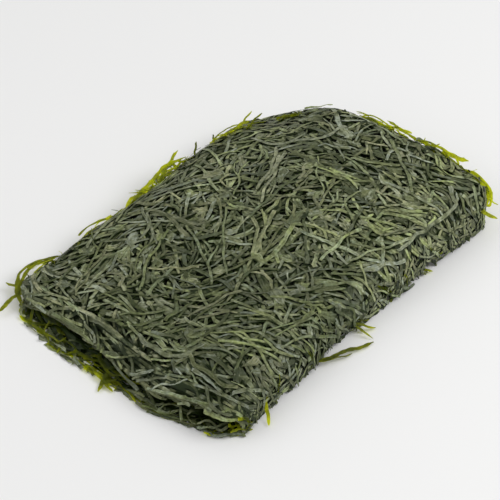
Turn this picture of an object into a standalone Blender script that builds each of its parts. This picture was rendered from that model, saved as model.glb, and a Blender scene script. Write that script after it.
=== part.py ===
"""A mat of shredded dried kelp, folded once across its length: the fold is at +X, thick and round, and the two
open edges of the layers are at -X, with a gap between them. It lies on its flat underside at z = 0."""

import math

import bmesh
import bpy

# Plan of the mat (metres).
LENGTH = 0.240  # along X, before the open end bows out
WIDTH = 0.172  # along Y
BOW_OPEN_END = 0.011  # how far the middle of the open end stands out
BOW_FOLD = 0.002
BOW_SIDES = 0.004  # how far the long sides draw in at their middles
CORNER_RADIUS = {"left": 0.010, "front": 0.009, "right": 0.012, "back": 0.034}
RAGGED = ((7, 0.0011, 0.4), (12, 0.0009, 2.1), (19, 0.0010, 4.0), (31, 0.0008, 1.3), (47, 0.0007, 5.2))
TUFT_REACH = 0.0060  # the strands that stand out at the left corner
TUFT_WIDTH = 0.007

# Heights of the top, at the open end and at the fold.
OPEN_HEIGHT_FRONT = 0.0215
OPEN_HEIGHT_DROP = 0.0105
FOLD_HEIGHT = 0.0375
FOLD_CREST_AT = 0.40  # share of the width, from the front side
FOLD_FALL = 0.040
RISE_POWER = 0.85  # below 1 the top climbs soon after the open end
BACK_DROOP = 0.0115  # how far the back corner of the fold hangs
BACK_DROOP_REACH = 0.040
RELIEF = ((52.0, 31.0, 0.0011, 0.7), (-38.0, 74.0, 0.0009, 2.9), (121.0, 46.0, 0.0007, 4.4), (88.0, -133.0, 0.0007, 1.8))

# The rim, from the top down to the table. Each row: inset from the outline, share of the height.
ROUND_RIM = ((0.0150, 1.00), (0.0095, 0.96), (0.0055, 0.88), (0.0024, 0.75), (0.0004, 0.58))
LIP_INSET = 0.0012
LAYER_BOTTOM = 0.0055  # thickness of the lower layer's edge
GAP_OPEN_END = 0.0080  # height of the gap between the two layers at the front half of the open end
GAP_SIDES = 0.0012
CREASE_OPEN_END = 0.026  # how deep the gap runs in
CREASE_SIDES = 0.0038
LOWER_THINNER = 0.35  # how much thinner the lower layer's edge is along the long sides
LEAST_STEP = 0.002
LOWER_LIP_OUT = 0.0006
# Where loose strands stand out from under the long sides. Each row: place along X, side, reach, half length.
LIP_TUFTS = ((-0.012, -1, 0.0115, 0.013), (-0.090, 1, 0.0060, 0.015))
TUFT_THIN = 0.55  # how much thinner the lip is there
SOLE_INSET = 0.0022
OPEN_LIFT = 0.55  # how much squarer the upper layer's edge is where the gap is widest
FOLD_UNDER = (
    (0.0000, 0.49),
    (0.0001, 0.42),
    (0.0003, 0.35),
    (0.0006, 0.28),
    (0.0011, 0.20),
    (0.0020, 0.11),
    (0.0045, 0.0),
)
SOLE_RINGS = (0.35, 0.70)  # shares of the way from the sole's edge to its middle
TOP_RINGS = (0.16, 0.32, 0.48, 0.64, 0.80, 0.92)

POINTS_AROUND = 168

KELP_COLOUR = (0.098, 0.112, 0.055, 1.0)
KELP_ROUGHNESS = 0.72


def clear_scene():
    for thing in list(bpy.data.objects):
        bpy.data.objects.remove(thing)


def rounded_rectangle(count):
    """Evenly spaced points round the plan, with the outward direction at each."""
    a = LENGTH / 2
    b = WIDTH / 2
    corners = (
        (a, -b, CORNER_RADIUS["right"], -90),
        (a, b, CORNER_RADIUS["back"], 0),
        (-a, b, CORNER_RADIUS["left"], 90),
        (-a, -b, CORNER_RADIUS["front"], 180),
    )
    dense = []
    for x, y, radius, start in corners:
        cx = x - math.copysign(radius, x)
        cy = y - math.copysign(radius, y)
        for step in range(13):
            angle = math.radians(start + 90 * step / 12)
            direction = (math.cos(angle), math.sin(angle))
            dense.append((cx + radius * direction[0], cy + radius * direction[1], direction))
    return evenly_spaced(dense, count)


def evenly_spaced(dense, count):
    """The closed line through the dense points, cut into equal lengths."""
    closed = dense + dense[:1]
    spans = [math.dist(p[:2], q[:2]) for p, q in zip(closed, closed[1:])]
    total = sum(spans)
    points = []
    span = 0
    passed = 0.0
    for i in range(count):
        wanted = total * i / count
        while passed + spans[span] < wanted:
            passed += spans[span]
            span += 1
        t = (wanted - passed) / spans[span]
        p, q = closed[span], closed[span + 1]
        nx = p[2][0] + (q[2][0] - p[2][0]) * t
        ny = p[2][1] + (q[2][1] - p[2][1]) * t
        size = math.hypot(nx, ny)
        points.append((p[0] + (q[0] - p[0]) * t, p[1] + (q[1] - p[1]) * t, nx / size, ny / size))
    return points


def bowed(x, y):
    """The plan with its open end bowed out and its long sides drawn in."""
    across = 1 - (2 * y / WIDTH) ** 2
    along = 1 - (2 * x / LENGTH) ** 2
    to_open = ((LENGTH / 2 - x) / LENGTH) ** 3
    to_fold = ((LENGTH / 2 + x) / LENGTH) ** 3
    out = BOW_FOLD * to_fold * across - BOW_OPEN_END * to_open * across
    return x + out, y * (1 - BOW_SIDES * max(along, 0) / (WIDTH / 2))


def side_weights(nx, ny):
    """How much a point of the outline belongs to the open end, the fold, the front side and the back side."""
    return max(-nx, 0) ** 2, max(nx, 0) ** 2, max(-ny, 0) ** 2, max(ny, 0) ** 2


def ragged(turn, x, y, fold):
    """How far the outline stands out of its even line."""
    wave = sum(size * math.sin(2 * math.pi * rate * turn + phase) for rate, size, phase in RAGGED)
    off_corner = math.dist((x, y), (-LENGTH / 2, WIDTH / 2))
    tuft = TUFT_REACH * math.exp(-((off_corner / TUFT_WIDTH) ** 2))
    return wave * (1 - 0.6 * fold) + tuft


def lip_reach(x, ny):
    """How far loose strands stand out from the lower layer's lip at a point of the outline."""
    reach = 0.0
    for place, side, size, half_length in LIP_TUFTS:
        reach += size * max(side * ny, 0) ** 2 * math.exp(-(((x - place) / half_length) ** 2))
    return reach


def top_height(x, y):
    """Height of the top over the plan, without its rim."""
    u = min(max(x / LENGTH + 0.5, 0), 1)
    v = min(max(y / WIDTH + 0.5, 0), 1)
    at_open = OPEN_HEIGHT_FRONT - OPEN_HEIGHT_DROP * v**2
    at_fold = FOLD_HEIGHT - FOLD_FALL * (v - FOLD_CREST_AT) ** 2
    relief = sum(size * math.sin(fx * x + fy * y + phase) for fx, fy, size, phase in RELIEF)
    off_back = math.dist((x, y), (LENGTH / 2, WIDTH / 2))
    droop = BACK_DROOP * math.exp(-((off_back / BACK_DROOP_REACH) ** 2))
    return at_open + (at_fold - at_open) * u**RISE_POWER + relief - droop


def inset_point(x, y, inset):
    """A point of the outline moved in by the same distance from every side."""
    return x * (1 - inset / (LENGTH / 2)), y * (1 - inset / (WIDTH / 2))


def open_rim(height, lower, gap, crease, lift, reach):
    """The rim where the two layers end: the upper layer's edge, the gap and the lower layer's edge."""
    rows = [(inset, height * (1 - (1 - share) * (1 - lift))) for inset, share in ROUND_RIM]
    upper_edge = min(lower + gap, rows[-1][1] - LEAST_STEP)
    middle = (lower + upper_edge) / 2
    open_by = upper_edge - lower
    rows.append((LIP_INSET, upper_edge))
    rows.append((LIP_INSET + 0.6 * crease, middle + 0.30 * open_by))
    rows.append((LIP_INSET + crease, middle))
    rows.append((LIP_INSET + 0.5 * crease, middle - 0.38 * open_by))
    rows.append((LIP_INSET - LOWER_LIP_OUT - 0.8 * reach, lower))
    rows.append((LIP_INSET - LOWER_LIP_OUT - reach, 0.45 * lower))
    rows.append((LIP_INSET + SOLE_INSET - 0.7 * reach, 0.0))
    return rows


def fold_rim(height):
    """The rim where the mat turns under itself."""
    return [(inset, height * share) for inset, share in ROUND_RIM + FOLD_UNDER]


def rim_profile(x, y, nx, ny):
    """The rim at one point of the outline: (inset, height) from the top to the sole."""
    end, fold, front, back = side_weights(nx, ny)
    opening = end * max(0.5 - y / WIDTH, 0) ** 0.5
    height = top_height(*inset_point(x, y, ROUND_RIM[0][0]))
    gap = GAP_SIDES + GAP_OPEN_END * opening
    crease = CREASE_SIDES + CREASE_OPEN_END * opening
    reach = lip_reach(x, ny)
    lower = LAYER_BOTTOM * (1 - LOWER_THINNER * (front + back)) * (1 - TUFT_THIN * min(reach / LIP_TUFTS[0][2], 1))
    is_open = open_rim(height, lower, gap, crease, OPEN_LIFT * opening, reach)
    is_fold = fold_rim(height)
    return [(p + (q - p) * fold, r + (t - r) * fold) for (p, r), (q, t) in zip(is_open, is_fold)]


def outline():
    """The outline's points with their rims, each moved out by the ragged edge."""
    stations = []
    for i, (x, y, nx, ny) in enumerate(rounded_rectangle(POINTS_AROUND)):
        fold = side_weights(nx, ny)[1]
        out = ragged(i / POINTS_AROUND, x, y, fold)
        stations.append((x + nx * out, y + ny * out, rim_profile(x, y, nx, ny)))
    return stations


def ring_at(stations, row):
    """One ring of the rim."""
    ring = []
    for x, y, profile in stations:
        inset, z = profile[row]
        px, py = inset_point(x, y, inset)
        ring.append((*bowed(px, py), z))
    return ring


def shrunk_ring(stations, row, share, flat):
    """A ring between the rim's row and the middle of the plan."""
    ring = []
    for x, y, profile in stations:
        px, py = inset_point(x, y, profile[row][0])
        px *= 1 - share
        py *= 1 - share
        z = 0.0 if flat else top_height(px, py)
        ring.append((*bowed(px, py), z))
    return ring


def mat_rings():
    """All rings from the middle of the top to the middle of the sole."""
    stations = outline()
    rows = len(stations[0][2])
    rings = [shrunk_ring(stations, 0, share, False) for share in reversed(TOP_RINGS)]
    rings += [ring_at(stations, row) for row in range(rows)]
    rings += [shrunk_ring(stations, rows - 1, share, True) for share in SOLE_RINGS]
    return rings


def centred(rings):
    """The rings moved so that the middle of their box is over the origin."""
    xs = [p[0] for ring in rings for p in ring]
    ys = [p[1] for ring in rings for p in ring]
    mx = (min(xs) + max(xs)) / 2
    my = (min(ys) + max(ys)) / 2
    return [[(x - mx, y - my, z) for x, y, z in ring] for ring in rings], mx, my


def lofted(rings, top, sole):
    """A closed mesh through the rings, with a point at each end."""
    shape = bmesh.new()
    rows = [[shape.verts.new(p) for p in ring] for ring in rings]
    first = shape.verts.new(top)
    last = shape.verts.new(sole)
    count = len(rows[0])
    for i in range(count):
        j = (i + 1) % count
        shape.faces.new((first, rows[0][i], rows[0][j]))
        shape.faces.new((last, rows[-1][j], rows[-1][i]))
        for upper, under in zip(rows, rows[1:]):
            shape.faces.new((upper[i], under[i], under[j], upper[j]))
    bmesh.ops.recalc_face_normals(shape, faces=shape.faces)
    for face in shape.faces:
        face.smooth = True
    return shape


def kelp_material():
    material = bpy.data.materials.new("dried_kelp")
    material.use_nodes = True
    surface = material.node_tree.nodes["Principled BSDF"]
    surface.inputs["Base Color"].default_value = KELP_COLOUR
    surface.inputs["Roughness"].default_value = KELP_ROUGHNESS
    surface.inputs["Metallic"].default_value = 0.0
    return material


def build_kelp_mat():
    rings, mx, my = centred(mat_rings())
    shape = lofted(rings, (-mx, -my, top_height(0, 0)), (-mx, -my, 0.0))
    mesh = bpy.data.meshes.new("kelp_mat")
    shape.to_mesh(mesh)
    shape.free()
    mesh.materials.append(kelp_material())
    mat = bpy.data.objects.new("kelp_mat", mesh)
    bpy.context.scene.collection.objects.link(mat)


clear_scene()
build_kelp_mat()
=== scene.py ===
"""A mat of shredded dried kelp, folded once: some thousands of cut strips laid over one another round a small core."""

import math

import bpy
import numpy as np
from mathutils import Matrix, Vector


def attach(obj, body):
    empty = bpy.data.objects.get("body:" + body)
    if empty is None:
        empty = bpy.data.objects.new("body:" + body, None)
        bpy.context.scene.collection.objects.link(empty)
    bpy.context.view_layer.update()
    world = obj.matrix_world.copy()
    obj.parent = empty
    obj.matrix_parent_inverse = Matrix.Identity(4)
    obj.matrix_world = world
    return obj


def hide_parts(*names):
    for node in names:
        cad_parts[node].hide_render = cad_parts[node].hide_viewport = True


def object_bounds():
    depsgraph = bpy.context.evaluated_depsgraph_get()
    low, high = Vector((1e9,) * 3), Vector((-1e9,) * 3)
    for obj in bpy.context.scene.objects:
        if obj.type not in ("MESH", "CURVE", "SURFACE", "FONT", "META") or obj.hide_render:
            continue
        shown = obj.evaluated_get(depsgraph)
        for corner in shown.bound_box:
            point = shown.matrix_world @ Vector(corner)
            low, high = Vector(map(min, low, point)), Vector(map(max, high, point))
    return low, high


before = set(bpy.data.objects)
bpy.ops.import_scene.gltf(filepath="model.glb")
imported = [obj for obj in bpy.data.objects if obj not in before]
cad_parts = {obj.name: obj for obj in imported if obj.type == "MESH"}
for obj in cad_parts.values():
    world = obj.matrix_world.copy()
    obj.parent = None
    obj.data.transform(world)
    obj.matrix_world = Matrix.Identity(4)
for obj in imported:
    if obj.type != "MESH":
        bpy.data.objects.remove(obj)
CAD_LOW, CAD_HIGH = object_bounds()

bl_info = {
    "name": "Dried kelp mat",
    "version": (1, 0, 0),
    "blender": (4, 5, 0),
    "location": "View3D > Sidebar > Kelp",
    "description": "Builds a folded mat of shredded dried kelp, strip by strip, round its packed frame",
    "category": "Object",
}

BODY = "root"
NODE = "kelp_mat"

# Layout of the grid that covers the outer surface: rows run from the upper layer's open edge over the fold to the
# lower layer's open edge, and columns run across the mat.
ROW_STEP = 0.002
ROWS_TOP = 122
ROWS_FOLD = 26
ROWS_UNDER = 122
ROWS_PAST = 6
COLUMNS = 97
COLUMNS_PAST = 5
FINE = 3  # cells of the height map per cell of the grid

SECTION = 4  # points round a strip: left edge, crown, right edge, underside

# Laces of thin strips that stand out past the rim. Each row: from a point near the rim to another, reach, strips.
LACES = (
    ((-0.090, 0.083, 0.009), (-0.062, 0.083, 0.010), 0.0020, 7),
    ((-0.055, 0.083, 0.011), (-0.010, 0.080, 0.014), 0.0022, 12),
    ((-0.010, 0.080, 0.015), (0.036, 0.080, 0.018), 0.0066, 30),
    ((0.060, 0.080, 0.017), (0.094, 0.071, 0.019), 0.0040, 12),
    ((0.104, 0.064, 0.022), (0.117, 0.036, 0.027), 0.0036, 14),
    ((0.121, 0.014, 0.030), (0.122, -0.022, 0.032), 0.0058, 20),
    ((0.122, -0.030, 0.032), (0.122, -0.058, 0.030), 0.0052, 17),
    ((0.121, -0.064, 0.026), (0.119, -0.081, 0.017), 0.0042, 13),
)

# Large fused pieces. Each row: a point near it, heading in degrees, length, width.
PATCHES = (
    ((-0.035, -0.048, 0.025), 60, 0.014, 0.008),
    ((-0.022, -0.054, 0.025), 20, 0.010, 0.006),
    ((0.079, -0.066, 0.031), 10, 0.011, 0.008),
    ((0.101, 0.008, 0.031), 70, 0.013, 0.008),
    ((-0.092, -0.070, 0.019), 40, 0.010, 0.006),
    ((0.028, 0.052, 0.022), -20, 0.014, 0.007),
    ((-0.045, 0.050, 0.016), 30, 0.014, 0.006),
    ((-0.094, 0.060, 0.012), -60, 0.010, 0.005),
)

# Strips that lie over everything else. Each row: the middle, heading in degrees, length, width.
TOP_STRIPS = (
    ((-0.0755, 0.033, 0.014), 72, 0.022, 0.0022),
    ((-0.0715, 0.033, 0.014), 74, 0.020, 0.0020),
    ((0.070, -0.078, 0.028), 5, 0.068, 0.0022),
    ((0.095, -0.040, 0.034), 62, 0.052, 0.0020),
    ((-0.104, -0.030, 0.016), 96, 0.046, 0.0026),
    ((-0.100, -0.058, 0.018), 84, 0.040, 0.0024),
)

# Strips that stand free. Each row: start, heading in degrees, length, bend in degrees, fall, arch, width, roll in
# degrees, shade.
LOOSE_STRANDS = (
    ((-0.0730, 0.0822, 0.0100), 134, 0.052, 120, 0.0040, 0.0008, 0.0027, 20, 0.35),
    ((-0.0780, 0.0815, 0.0100), 136, 0.044, 120, 0.0030, 0.0006, 0.0022, -20, 0.45),
    ((-0.1040, 0.0700, 0.0080), 95, 0.0245, -4, 0.0030, 0.0006, 0.0025, 12, 0.45),
    ((-0.0990, 0.0790, 0.0080), 171, 0.028, 8, 0.0040, 0.0004, 0.0024, -14, 0.45),
    ((-0.0960, 0.0870, 0.0090), 255, 0.008, 20, 0.0006, 0.0000, 0.0007, 10, 0.60),
    ((-0.1170, 0.0020, 0.0030), 197, 0.018, 6, 0.0018, 0.0004, 0.0024, 16, 0.30),
    ((-0.1240, 0.0080, 0.0026), 250, 0.019, 14, 0.0014, 0.0006, 0.0022, -18, 0.30),
    ((-0.1195, -0.0070, 0.0024), 160, 0.012, -20, 0.0008, 0.0004, 0.0018, 10, 0.25),
    ((-0.1160, -0.0235, 0.0030), 197, 0.011, 4, 0.0018, 0.0002, 0.0018, 10, 0.15),
    ((-0.0800, -0.0790, 0.0120), 216, 0.019, 16, 0.0105, 0.0010, 0.0022, 40, 0.10),
    ((-0.0420, -0.0830, 0.0046), 338, 0.038, 8, 0.0034, 0.0004, 0.0023, 16, 0.55),
    ((-0.0400, -0.0845, 0.0040), 332, 0.020, 14, 0.0026, 0.0004, 0.0014, -12, 0.60),
    ((0.1090, -0.0770, 0.0165), 283, 0.018, 8, 0.0040, 0.0010, 0.0026, 20, 0.00),
    ((-0.0120, 0.0790, 0.0150), 22, 0.049, -38, -0.0026, 0.0004, 0.0025, 14, 0.00),
    ((0.0100, 0.0790, 0.0160), 26, 0.029, -16, -0.0020, 0.0004, 0.0022, -12, 0.00),
    ((0.0400, 0.0780, 0.0180), 33, 0.0126, 4, -0.0006, 0.0000, 0.0012, 10, 0.55),
    ((0.0600, 0.0800, 0.0160), 38, 0.006, 10, -0.0006, 0.0000, 0.0010, 10, 0.70),
    ((0.0670, 0.0812, 0.0143), -14, 0.018, 4, -0.0010, 0.0003, 0.0021, 12, 0.00),
    ((0.0800, 0.0770, 0.0155), 11, 0.0184, 6, -0.0010, 0.0003, 0.0012, 10, 0.00),
    ((0.0812, 0.0712, 0.0170), 11, 0.018, -6, -0.0010, 0.0003, 0.0018, -16, 0.00),
    ((0.1230, -0.0290, 0.0313), 74, 0.029, 10, 0.0004, 0.0004, 0.0026, 14, 0.00),
    ((0.1230, -0.0430, 0.0315), 76, 0.020, 8, 0.0004, 0.0003, 0.0024, -12, 0.00),
    ((0.1235, -0.0440, 0.0316), 283, 0.0185, 6, 0.0012, 0.0005, 0.0032, 12, 0.00),
    ((0.1210, -0.0570, 0.0318), 268, 0.016, -4, 0.0030, 0.0002, 0.0024, -14, 0.00),
    ((0.1172, -0.0715, 0.0300), 281, 0.0100, 0, 0.0016, 0.0000, 0.0024, 10, 0.00),
)

# Small tufts of thin leaves. Each row: a point, heading in degrees, length, leaves.
TUFTS = (
    ((0.0530, -0.0795, 0.0040), -25, 0.011, 6),
    ((0.0260, -0.0775, 0.0036), -25, 0.010, 6),
    ((-0.0080, -0.0785, 0.0070), -26, 0.0155, 9),
    ((-0.1090, -0.0800, 0.0050), -6, 0.013, 8),
)
WEB_STATIONS = 6  # points across a fused piece
HIDDEN = 0.0012  # a strip that is deeper than this everywhere is left out


# ---------------------------------------------------------------- properties


def length_prop(name, description, default):
    return bpy.props.FloatProperty(name=name, description=description, default=default, min=0.0, unit="LENGTH")


def share_prop(name, description, default, top=1.0):
    return bpy.props.FloatProperty(name=name, description=description, default=default, min=0.0, max=top)


def colour_prop(name, description, default):
    return bpy.props.FloatVectorProperty(
        name=name, description=description, default=default, min=0.0, max=1.0, size=3, subtype="COLOR"
    )


class KelpMatShape(bpy.types.PropertyGroup):
    """Sizes of the folded mat."""

    length: length_prop("Length", "From the fold to the open end's corners", 0.240)
    width: length_prop("Width", "Across the mat", 0.173)
    middle: bpy.props.FloatVectorProperty(
        name="Middle", description="Where the middle of the plan lies", default=(0.0050, 0.0005, 0.0), subtype="TRANSLATION"
    )
    open_height: length_prop("Height at the open end", "At the front corner of the open end", 0.0215)
    open_drop: length_prop("Fall at the open end", "How much lower its back corner is", 0.0105)
    fold_height: length_prop("Height at the fold", "At the fold's crest", CAD_HIGH.z + 0.0007)
    fold_fall: share_prop("Fall of the crest", "How fast the crest falls to both sides", 0.040)
    crest_at: share_prop("Place of the crest", "Share of the width, from the front side", 0.40)
    back_droop: length_prop("Droop", "How far the fold's back corner hangs", 0.0190)
    droop_reach: length_prop("Reach of the droop", "From the fold's back corner", 0.047)
    back_corner: length_prop("Back corner", "Radius of the fold's back corner in plan", 0.044)
    open_corner: length_prop("Open corner", "Radius of the open end's front corner in plan", 0.008)
    open_bow: length_prop("Bow of the open end", "How far its middle stands out", 0.0092)
    lower_edge: length_prop("Lower layer", "Thickness of the lower layer's open edge", 0.0055)
    gap: length_prop("Gap", "Height of the gap between the layers at the front corner", 0.0088)
    ledge: length_prop("Ledge", "How far the lower layer stands out under the upper one", 0.0045)
    seat: length_prop("Seat", "Height of the lowest strips' faces over the table", 0.0004)


class KelpStrands(bpy.types.PropertyGroup):
    """How the kelp is cut and heaped."""

    width: length_prop("Width", "Usual width of a strip", 0.00175)
    thickness: length_prop("Thickness", "Usual thickness of a strip", 0.00020)
    shortest: length_prop("Shortest", "Shortest strip", 0.016)
    usual: length_prop("Usual length", "Usual length of a strip", 0.040)
    longest: length_prop("Longest", "Longest strip", 0.080)
    step: length_prop("Step", "Length of a strip's segments", 0.0023)
    heap: length_prop("Heap", "Depth of the loose strips over the core", 0.0019)
    heap_under: length_prop("Heap underneath", "Depth of the strips under the core", 0.0013)
    press: length_prop("Press", "Depth within which the mat's strips are pressed together", 0.0003)
    webs: share_prop("Fused pieces", "Small fused pieces for each throw of strips", 0.20)
    over_all: bpy.props.IntProperty(name="Top strips", description="Throws over the full heap", default=330, min=0)
    forks: share_prop("Forks", "Strips that fork off another, for each strip", 0.85)
    most: bpy.props.IntProperty(name="Most strips", description="Limit on the number of strips", default=9000, min=1)
    seed: bpy.props.IntProperty(name="Seed", description="Start of the random draws", default=11, min=0)


class KelpColours(bpy.types.PropertyGroup):
    """Colours of the dried kelp."""

    bloom: colour_prop("Bloom", "Greyish film on the outer strips", (0.474, 0.568, 0.312))
    slate: colour_prop("Slate", "Bluish strips", (0.466, 0.528, 0.406))
    olive: colour_prop("Olive", "Yellower strips", (0.486, 0.572, 0.171))
    umber: colour_prop("Umber", "Browner strips", (0.535, 0.530, 0.290))
    # The deep green is painted shade: strips that lie deep in the mat fade to it.
    deep: colour_prop("Deep green", "Strips inside the mat", (0.010, 0.020, 0.001))
    # The flecks are partly salt specks and partly painted glints.
    fleck_and_glint: colour_prop("Flecks", "Pale flecks on the film", (0.64, 0.67, 0.56))
    lit: colour_prop("Shine through", "Light that passes the strips", (0.42, 0.47, 0.010))
    rim: colour_prop("Rim", "Thin strips of the rim", (0.150, 0.180, 0.050))
    rim_olive: colour_prop("Olive rim", "Yellower strips of the rim", (0.200, 0.215, 0.020))
    rim_lit: colour_prop("Rim shine through", "Light that passes the rim's strips", (0.97, 1.0, 0.16))
    # The core is painted nearly black as the shade in the holes between strips.
    core: colour_prop("Core", "The dark inside", (0.006, 0.011, 0.001))
    table: colour_prop("Table", "The pale floor", (0.86, 0.86, 0.855))


class KelpStage(bpy.types.PropertyGroup):
    """Camera and light."""

    azimuth: bpy.props.FloatProperty(
        name="Azimuth", description="Direction of the camera", default=math.radians(-50), subtype="ANGLE"
    )
    elevation: bpy.props.FloatProperty(
        name="Elevation", description="Height of the camera", default=math.radians(41), subtype="ANGLE"
    )
    distance: length_prop("Distance", "From the camera to its aim", 1.185)
    lens: bpy.props.FloatProperty(name="Lens", description="Focal length in millimetres", default=145.0)
    sky: share_prop("Sky", "Strength of the even light", 0.64, 10.0)
    key: share_prop("Key light", "Power of the large soft light, in watts", 11.9, 1000.0)
    fill: share_prop("Fill light", "Power of the second soft light, in watts", 4.0, 1000.0)


# ---------------------------------------------------------------- surface of the mat


def smooth_step(x):
    x = np.clip(x, 0, 1)
    return x * x * (3 - 2 * x)


def corner_cut(y, half, radius_front, radius_back):
    """How far a rounded corner draws the end of the plan in, at y."""
    radius = np.where(y > 0, radius_back, radius_front)
    past = np.clip(np.abs(y) - (half - radius), 0, radius)
    return radius - np.sqrt(radius**2 - past**2)


def edge_wave(t, rates, phases, size):
    """A gentle wave along an edge."""
    return size * sum(np.sin(rate * t + phase) for rate, phase in zip(rates, phases)) / len(rates)


class MatSurface:
    """The outer surface as a grid of points with normals, and at each point the depth of the heap under it."""

    SHOULDER = 0.015  # reach of the rounded shoulders along the long sides
    ROUNDNESS = 3.0
    SIDE_FOOT = 0.0038  # height at which the upper layer's hanging sides end
    FOLD_REACH = 0.0150
    FOLD_UNDER = 0.0055
    OPEN_ROLL = 0.0075  # reach of the roll with which the upper layer's open edge comes down
    LEDGE_BULGE = 0.0050  # how much farther the lower layer stands out behind the middle of the open end
    OPEN_EDGE = 0.0034  # its thickness at the very edge
    LOWER_DRAW_IN = 0.0012
    FRONT_DRAW_IN = 0.0042

    def __init__(self, shape, strands):
        self.shape = shape
        self.strands = strands
        self.length = shape.length
        self.half = shape.width / 2
        self.rows = ROWS_PAST * 2 + ROWS_TOP + ROWS_FOLD + ROWS_UNDER
        self.columns = COLUMNS + 2 * COLUMNS_PAST
        self.first_row = ROWS_PAST
        self.last_row = self.rows - 1 - ROWS_PAST
        self.fold_row = ROWS_PAST + ROWS_TOP
        self.under_row = ROWS_PAST + ROWS_TOP + ROWS_FOLD
        self.first_column = COLUMNS_PAST
        self.last_column = COLUMNS_PAST + COLUMNS - 1
        self.across = (np.arange(self.columns) - COLUMNS_PAST) / (COLUMNS - 1) * 2 - 1
        self.points = self.make_points()
        self.normals = self.make_normals()
        self.depth = self.make_depth()
        along = np.gradient(self.points, axis=0)
        across = np.gradient(self.points, axis=1)
        self.row_size = np.maximum(np.linalg.norm(along, axis=2), 2e-4)
        self.column_size = np.maximum(np.linalg.norm(across, axis=2), 2e-4)

    def top_height(self, x, y):
        s = self.shape
        u = np.clip(x / self.length + 0.5, 0, 1)
        v = np.clip(y / (2 * self.half) + 0.5, 0, 1)
        at_open = s.open_height - s.open_drop * v**2
        at_fold = s.fold_height - s.fold_fall * (v - s.crest_at) ** 2
        off_back = np.hypot(x - self.length / 2, y - self.half)
        droop = s.back_droop * np.exp(-((off_back / s.droop_reach) ** 2))
        relief = 0.0011 * np.sin(52 * x + 31 * y + 0.7) + 0.0009 * np.sin(74 * y - 38 * x + 2.9)
        return at_open + (at_fold - at_open) * u**0.85 + relief - droop

    def shoulder(self):
        """The section across the mat: y and the share of the height lost, at each column."""
        fine = np.linspace(0, 1, 400)
        power = 2 / self.ROUNDNESS
        turn = fine * math.pi / 2
        y = self.half - self.SHOULDER + self.SHOULDER * np.sin(turn) ** power
        lost = 1 - np.cos(turn) ** power
        usual = 0.020
        run = np.concatenate([[0], np.cumsum(np.hypot(np.diff(y), usual * np.diff(lost)))])
        flat = self.half - self.SHOULDER
        total = flat + run[-1]
        reach = np.clip(np.abs(self.across), 0, 1) * total
        side = np.sign(self.across)
        at = np.where(reach < flat, reach, np.interp(reach - flat, run, y))
        lose = np.where(reach < flat, 0, np.interp(reach - flat, run, lost))
        past = np.clip(np.abs(self.across) - 1, 0, 1) * total
        return side * (at + 0.62 * past), lose, past

    def make_points(self):
        y_top, lost, past = self.shoulder()
        inside = np.clip(y_top, -self.half, self.half)
        start = -self.length / 2 + corner_cut(inside, self.half, self.shape.open_corner, 0.020)
        back_share = np.clip(self.across + 0.3, 0, 1)
        ledge = self.shape.ledge * (0.5 + 0.9 * back_share) * (1 - np.clip(np.abs(self.across), 0, 1) ** 6)
        ledge += self.LEDGE_BULGE * np.exp(-(((self.across - 0.32) / 0.34) ** 2))
        end = self.length / 2 - corner_cut(inside, self.half, 0.009, self.shape.back_corner)
        foot = self.SIDE_FOOT

        low = self.shape.lower_edge + self.gap_at(self.across) + self.OPEN_EDGE

        def outer(x):
            height = self.top_height(x, y_top)
            z = height - lost * (height - foot)
            near = np.exp(-((np.clip(x - start - ledge, 0, 1) / self.OPEN_ROLL) ** 1.5))
            roll = 0.85 * near * np.maximum(z - low, 0)
            return np.maximum(z - roll - 0.45 * past, 0.0008)

        reach = np.minimum(self.FOLD_REACH, 0.62 * outer(end - 0.010))
        turn_at = end - reach
        rows = []
        for k in range(-ROWS_PAST, ROWS_TOP):
            t = k / ROWS_TOP
            x = start + ledge + (turn_at - start - ledge) * max(t, 0) + min(k, 0) * ROW_STEP
            z = outer(np.maximum(x, start)) + min(k, 0) * ROW_STEP * 0.5
            rows.append(np.stack([x, y_top, np.maximum(z, 0.0008)], 1))
        y_under = 0.5 * (y_top + self.across * self.half)
        y_under = np.sign(y_under) * np.maximum(np.abs(y_under) - self.LOWER_DRAW_IN, 0)
        tuck = self.FRONT_DRAW_IN * smooth_step((-self.across - 0.6) / 0.4)
        crest = outer(turn_at)
        middle = 0.45 * crest
        under = np.minimum(self.FOLD_UNDER, 0.5 * middle)
        seat = self.shape.seat
        power = 2 / self.ROUNDNESS
        for k in range(ROWS_FOLD):
            turn = math.pi * k / ROWS_FOLD
            out = math.sin(turn) ** power
            if turn < math.pi / 2:
                x = turn_at + reach * out
                z = middle + (crest - middle) * math.cos(turn) ** power
            else:
                x = end - under * (1 - out)
                z = seat + (middle - seat) * (1 - abs(math.cos(turn)) ** power)
            blend = smooth_step(turn / math.pi)
            rows.append(np.stack([x, y_top + (y_under + tuck - y_top) * blend, z], 1))
        for k in range(ROWS_UNDER + ROWS_PAST):
            t = k / (ROWS_UNDER - 1)
            x = (end - under) + (start - end + under) * min(t, 1) - max(k - ROWS_UNDER + 1, 0) * ROW_STEP
            off_end = smooth_step((x - start) / 0.045)
            rows.append(np.stack([x, y_under + tuck * off_end, np.full_like(x, seat)], 1))
        return self.placed(self.bowed(np.array(rows)))

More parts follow.
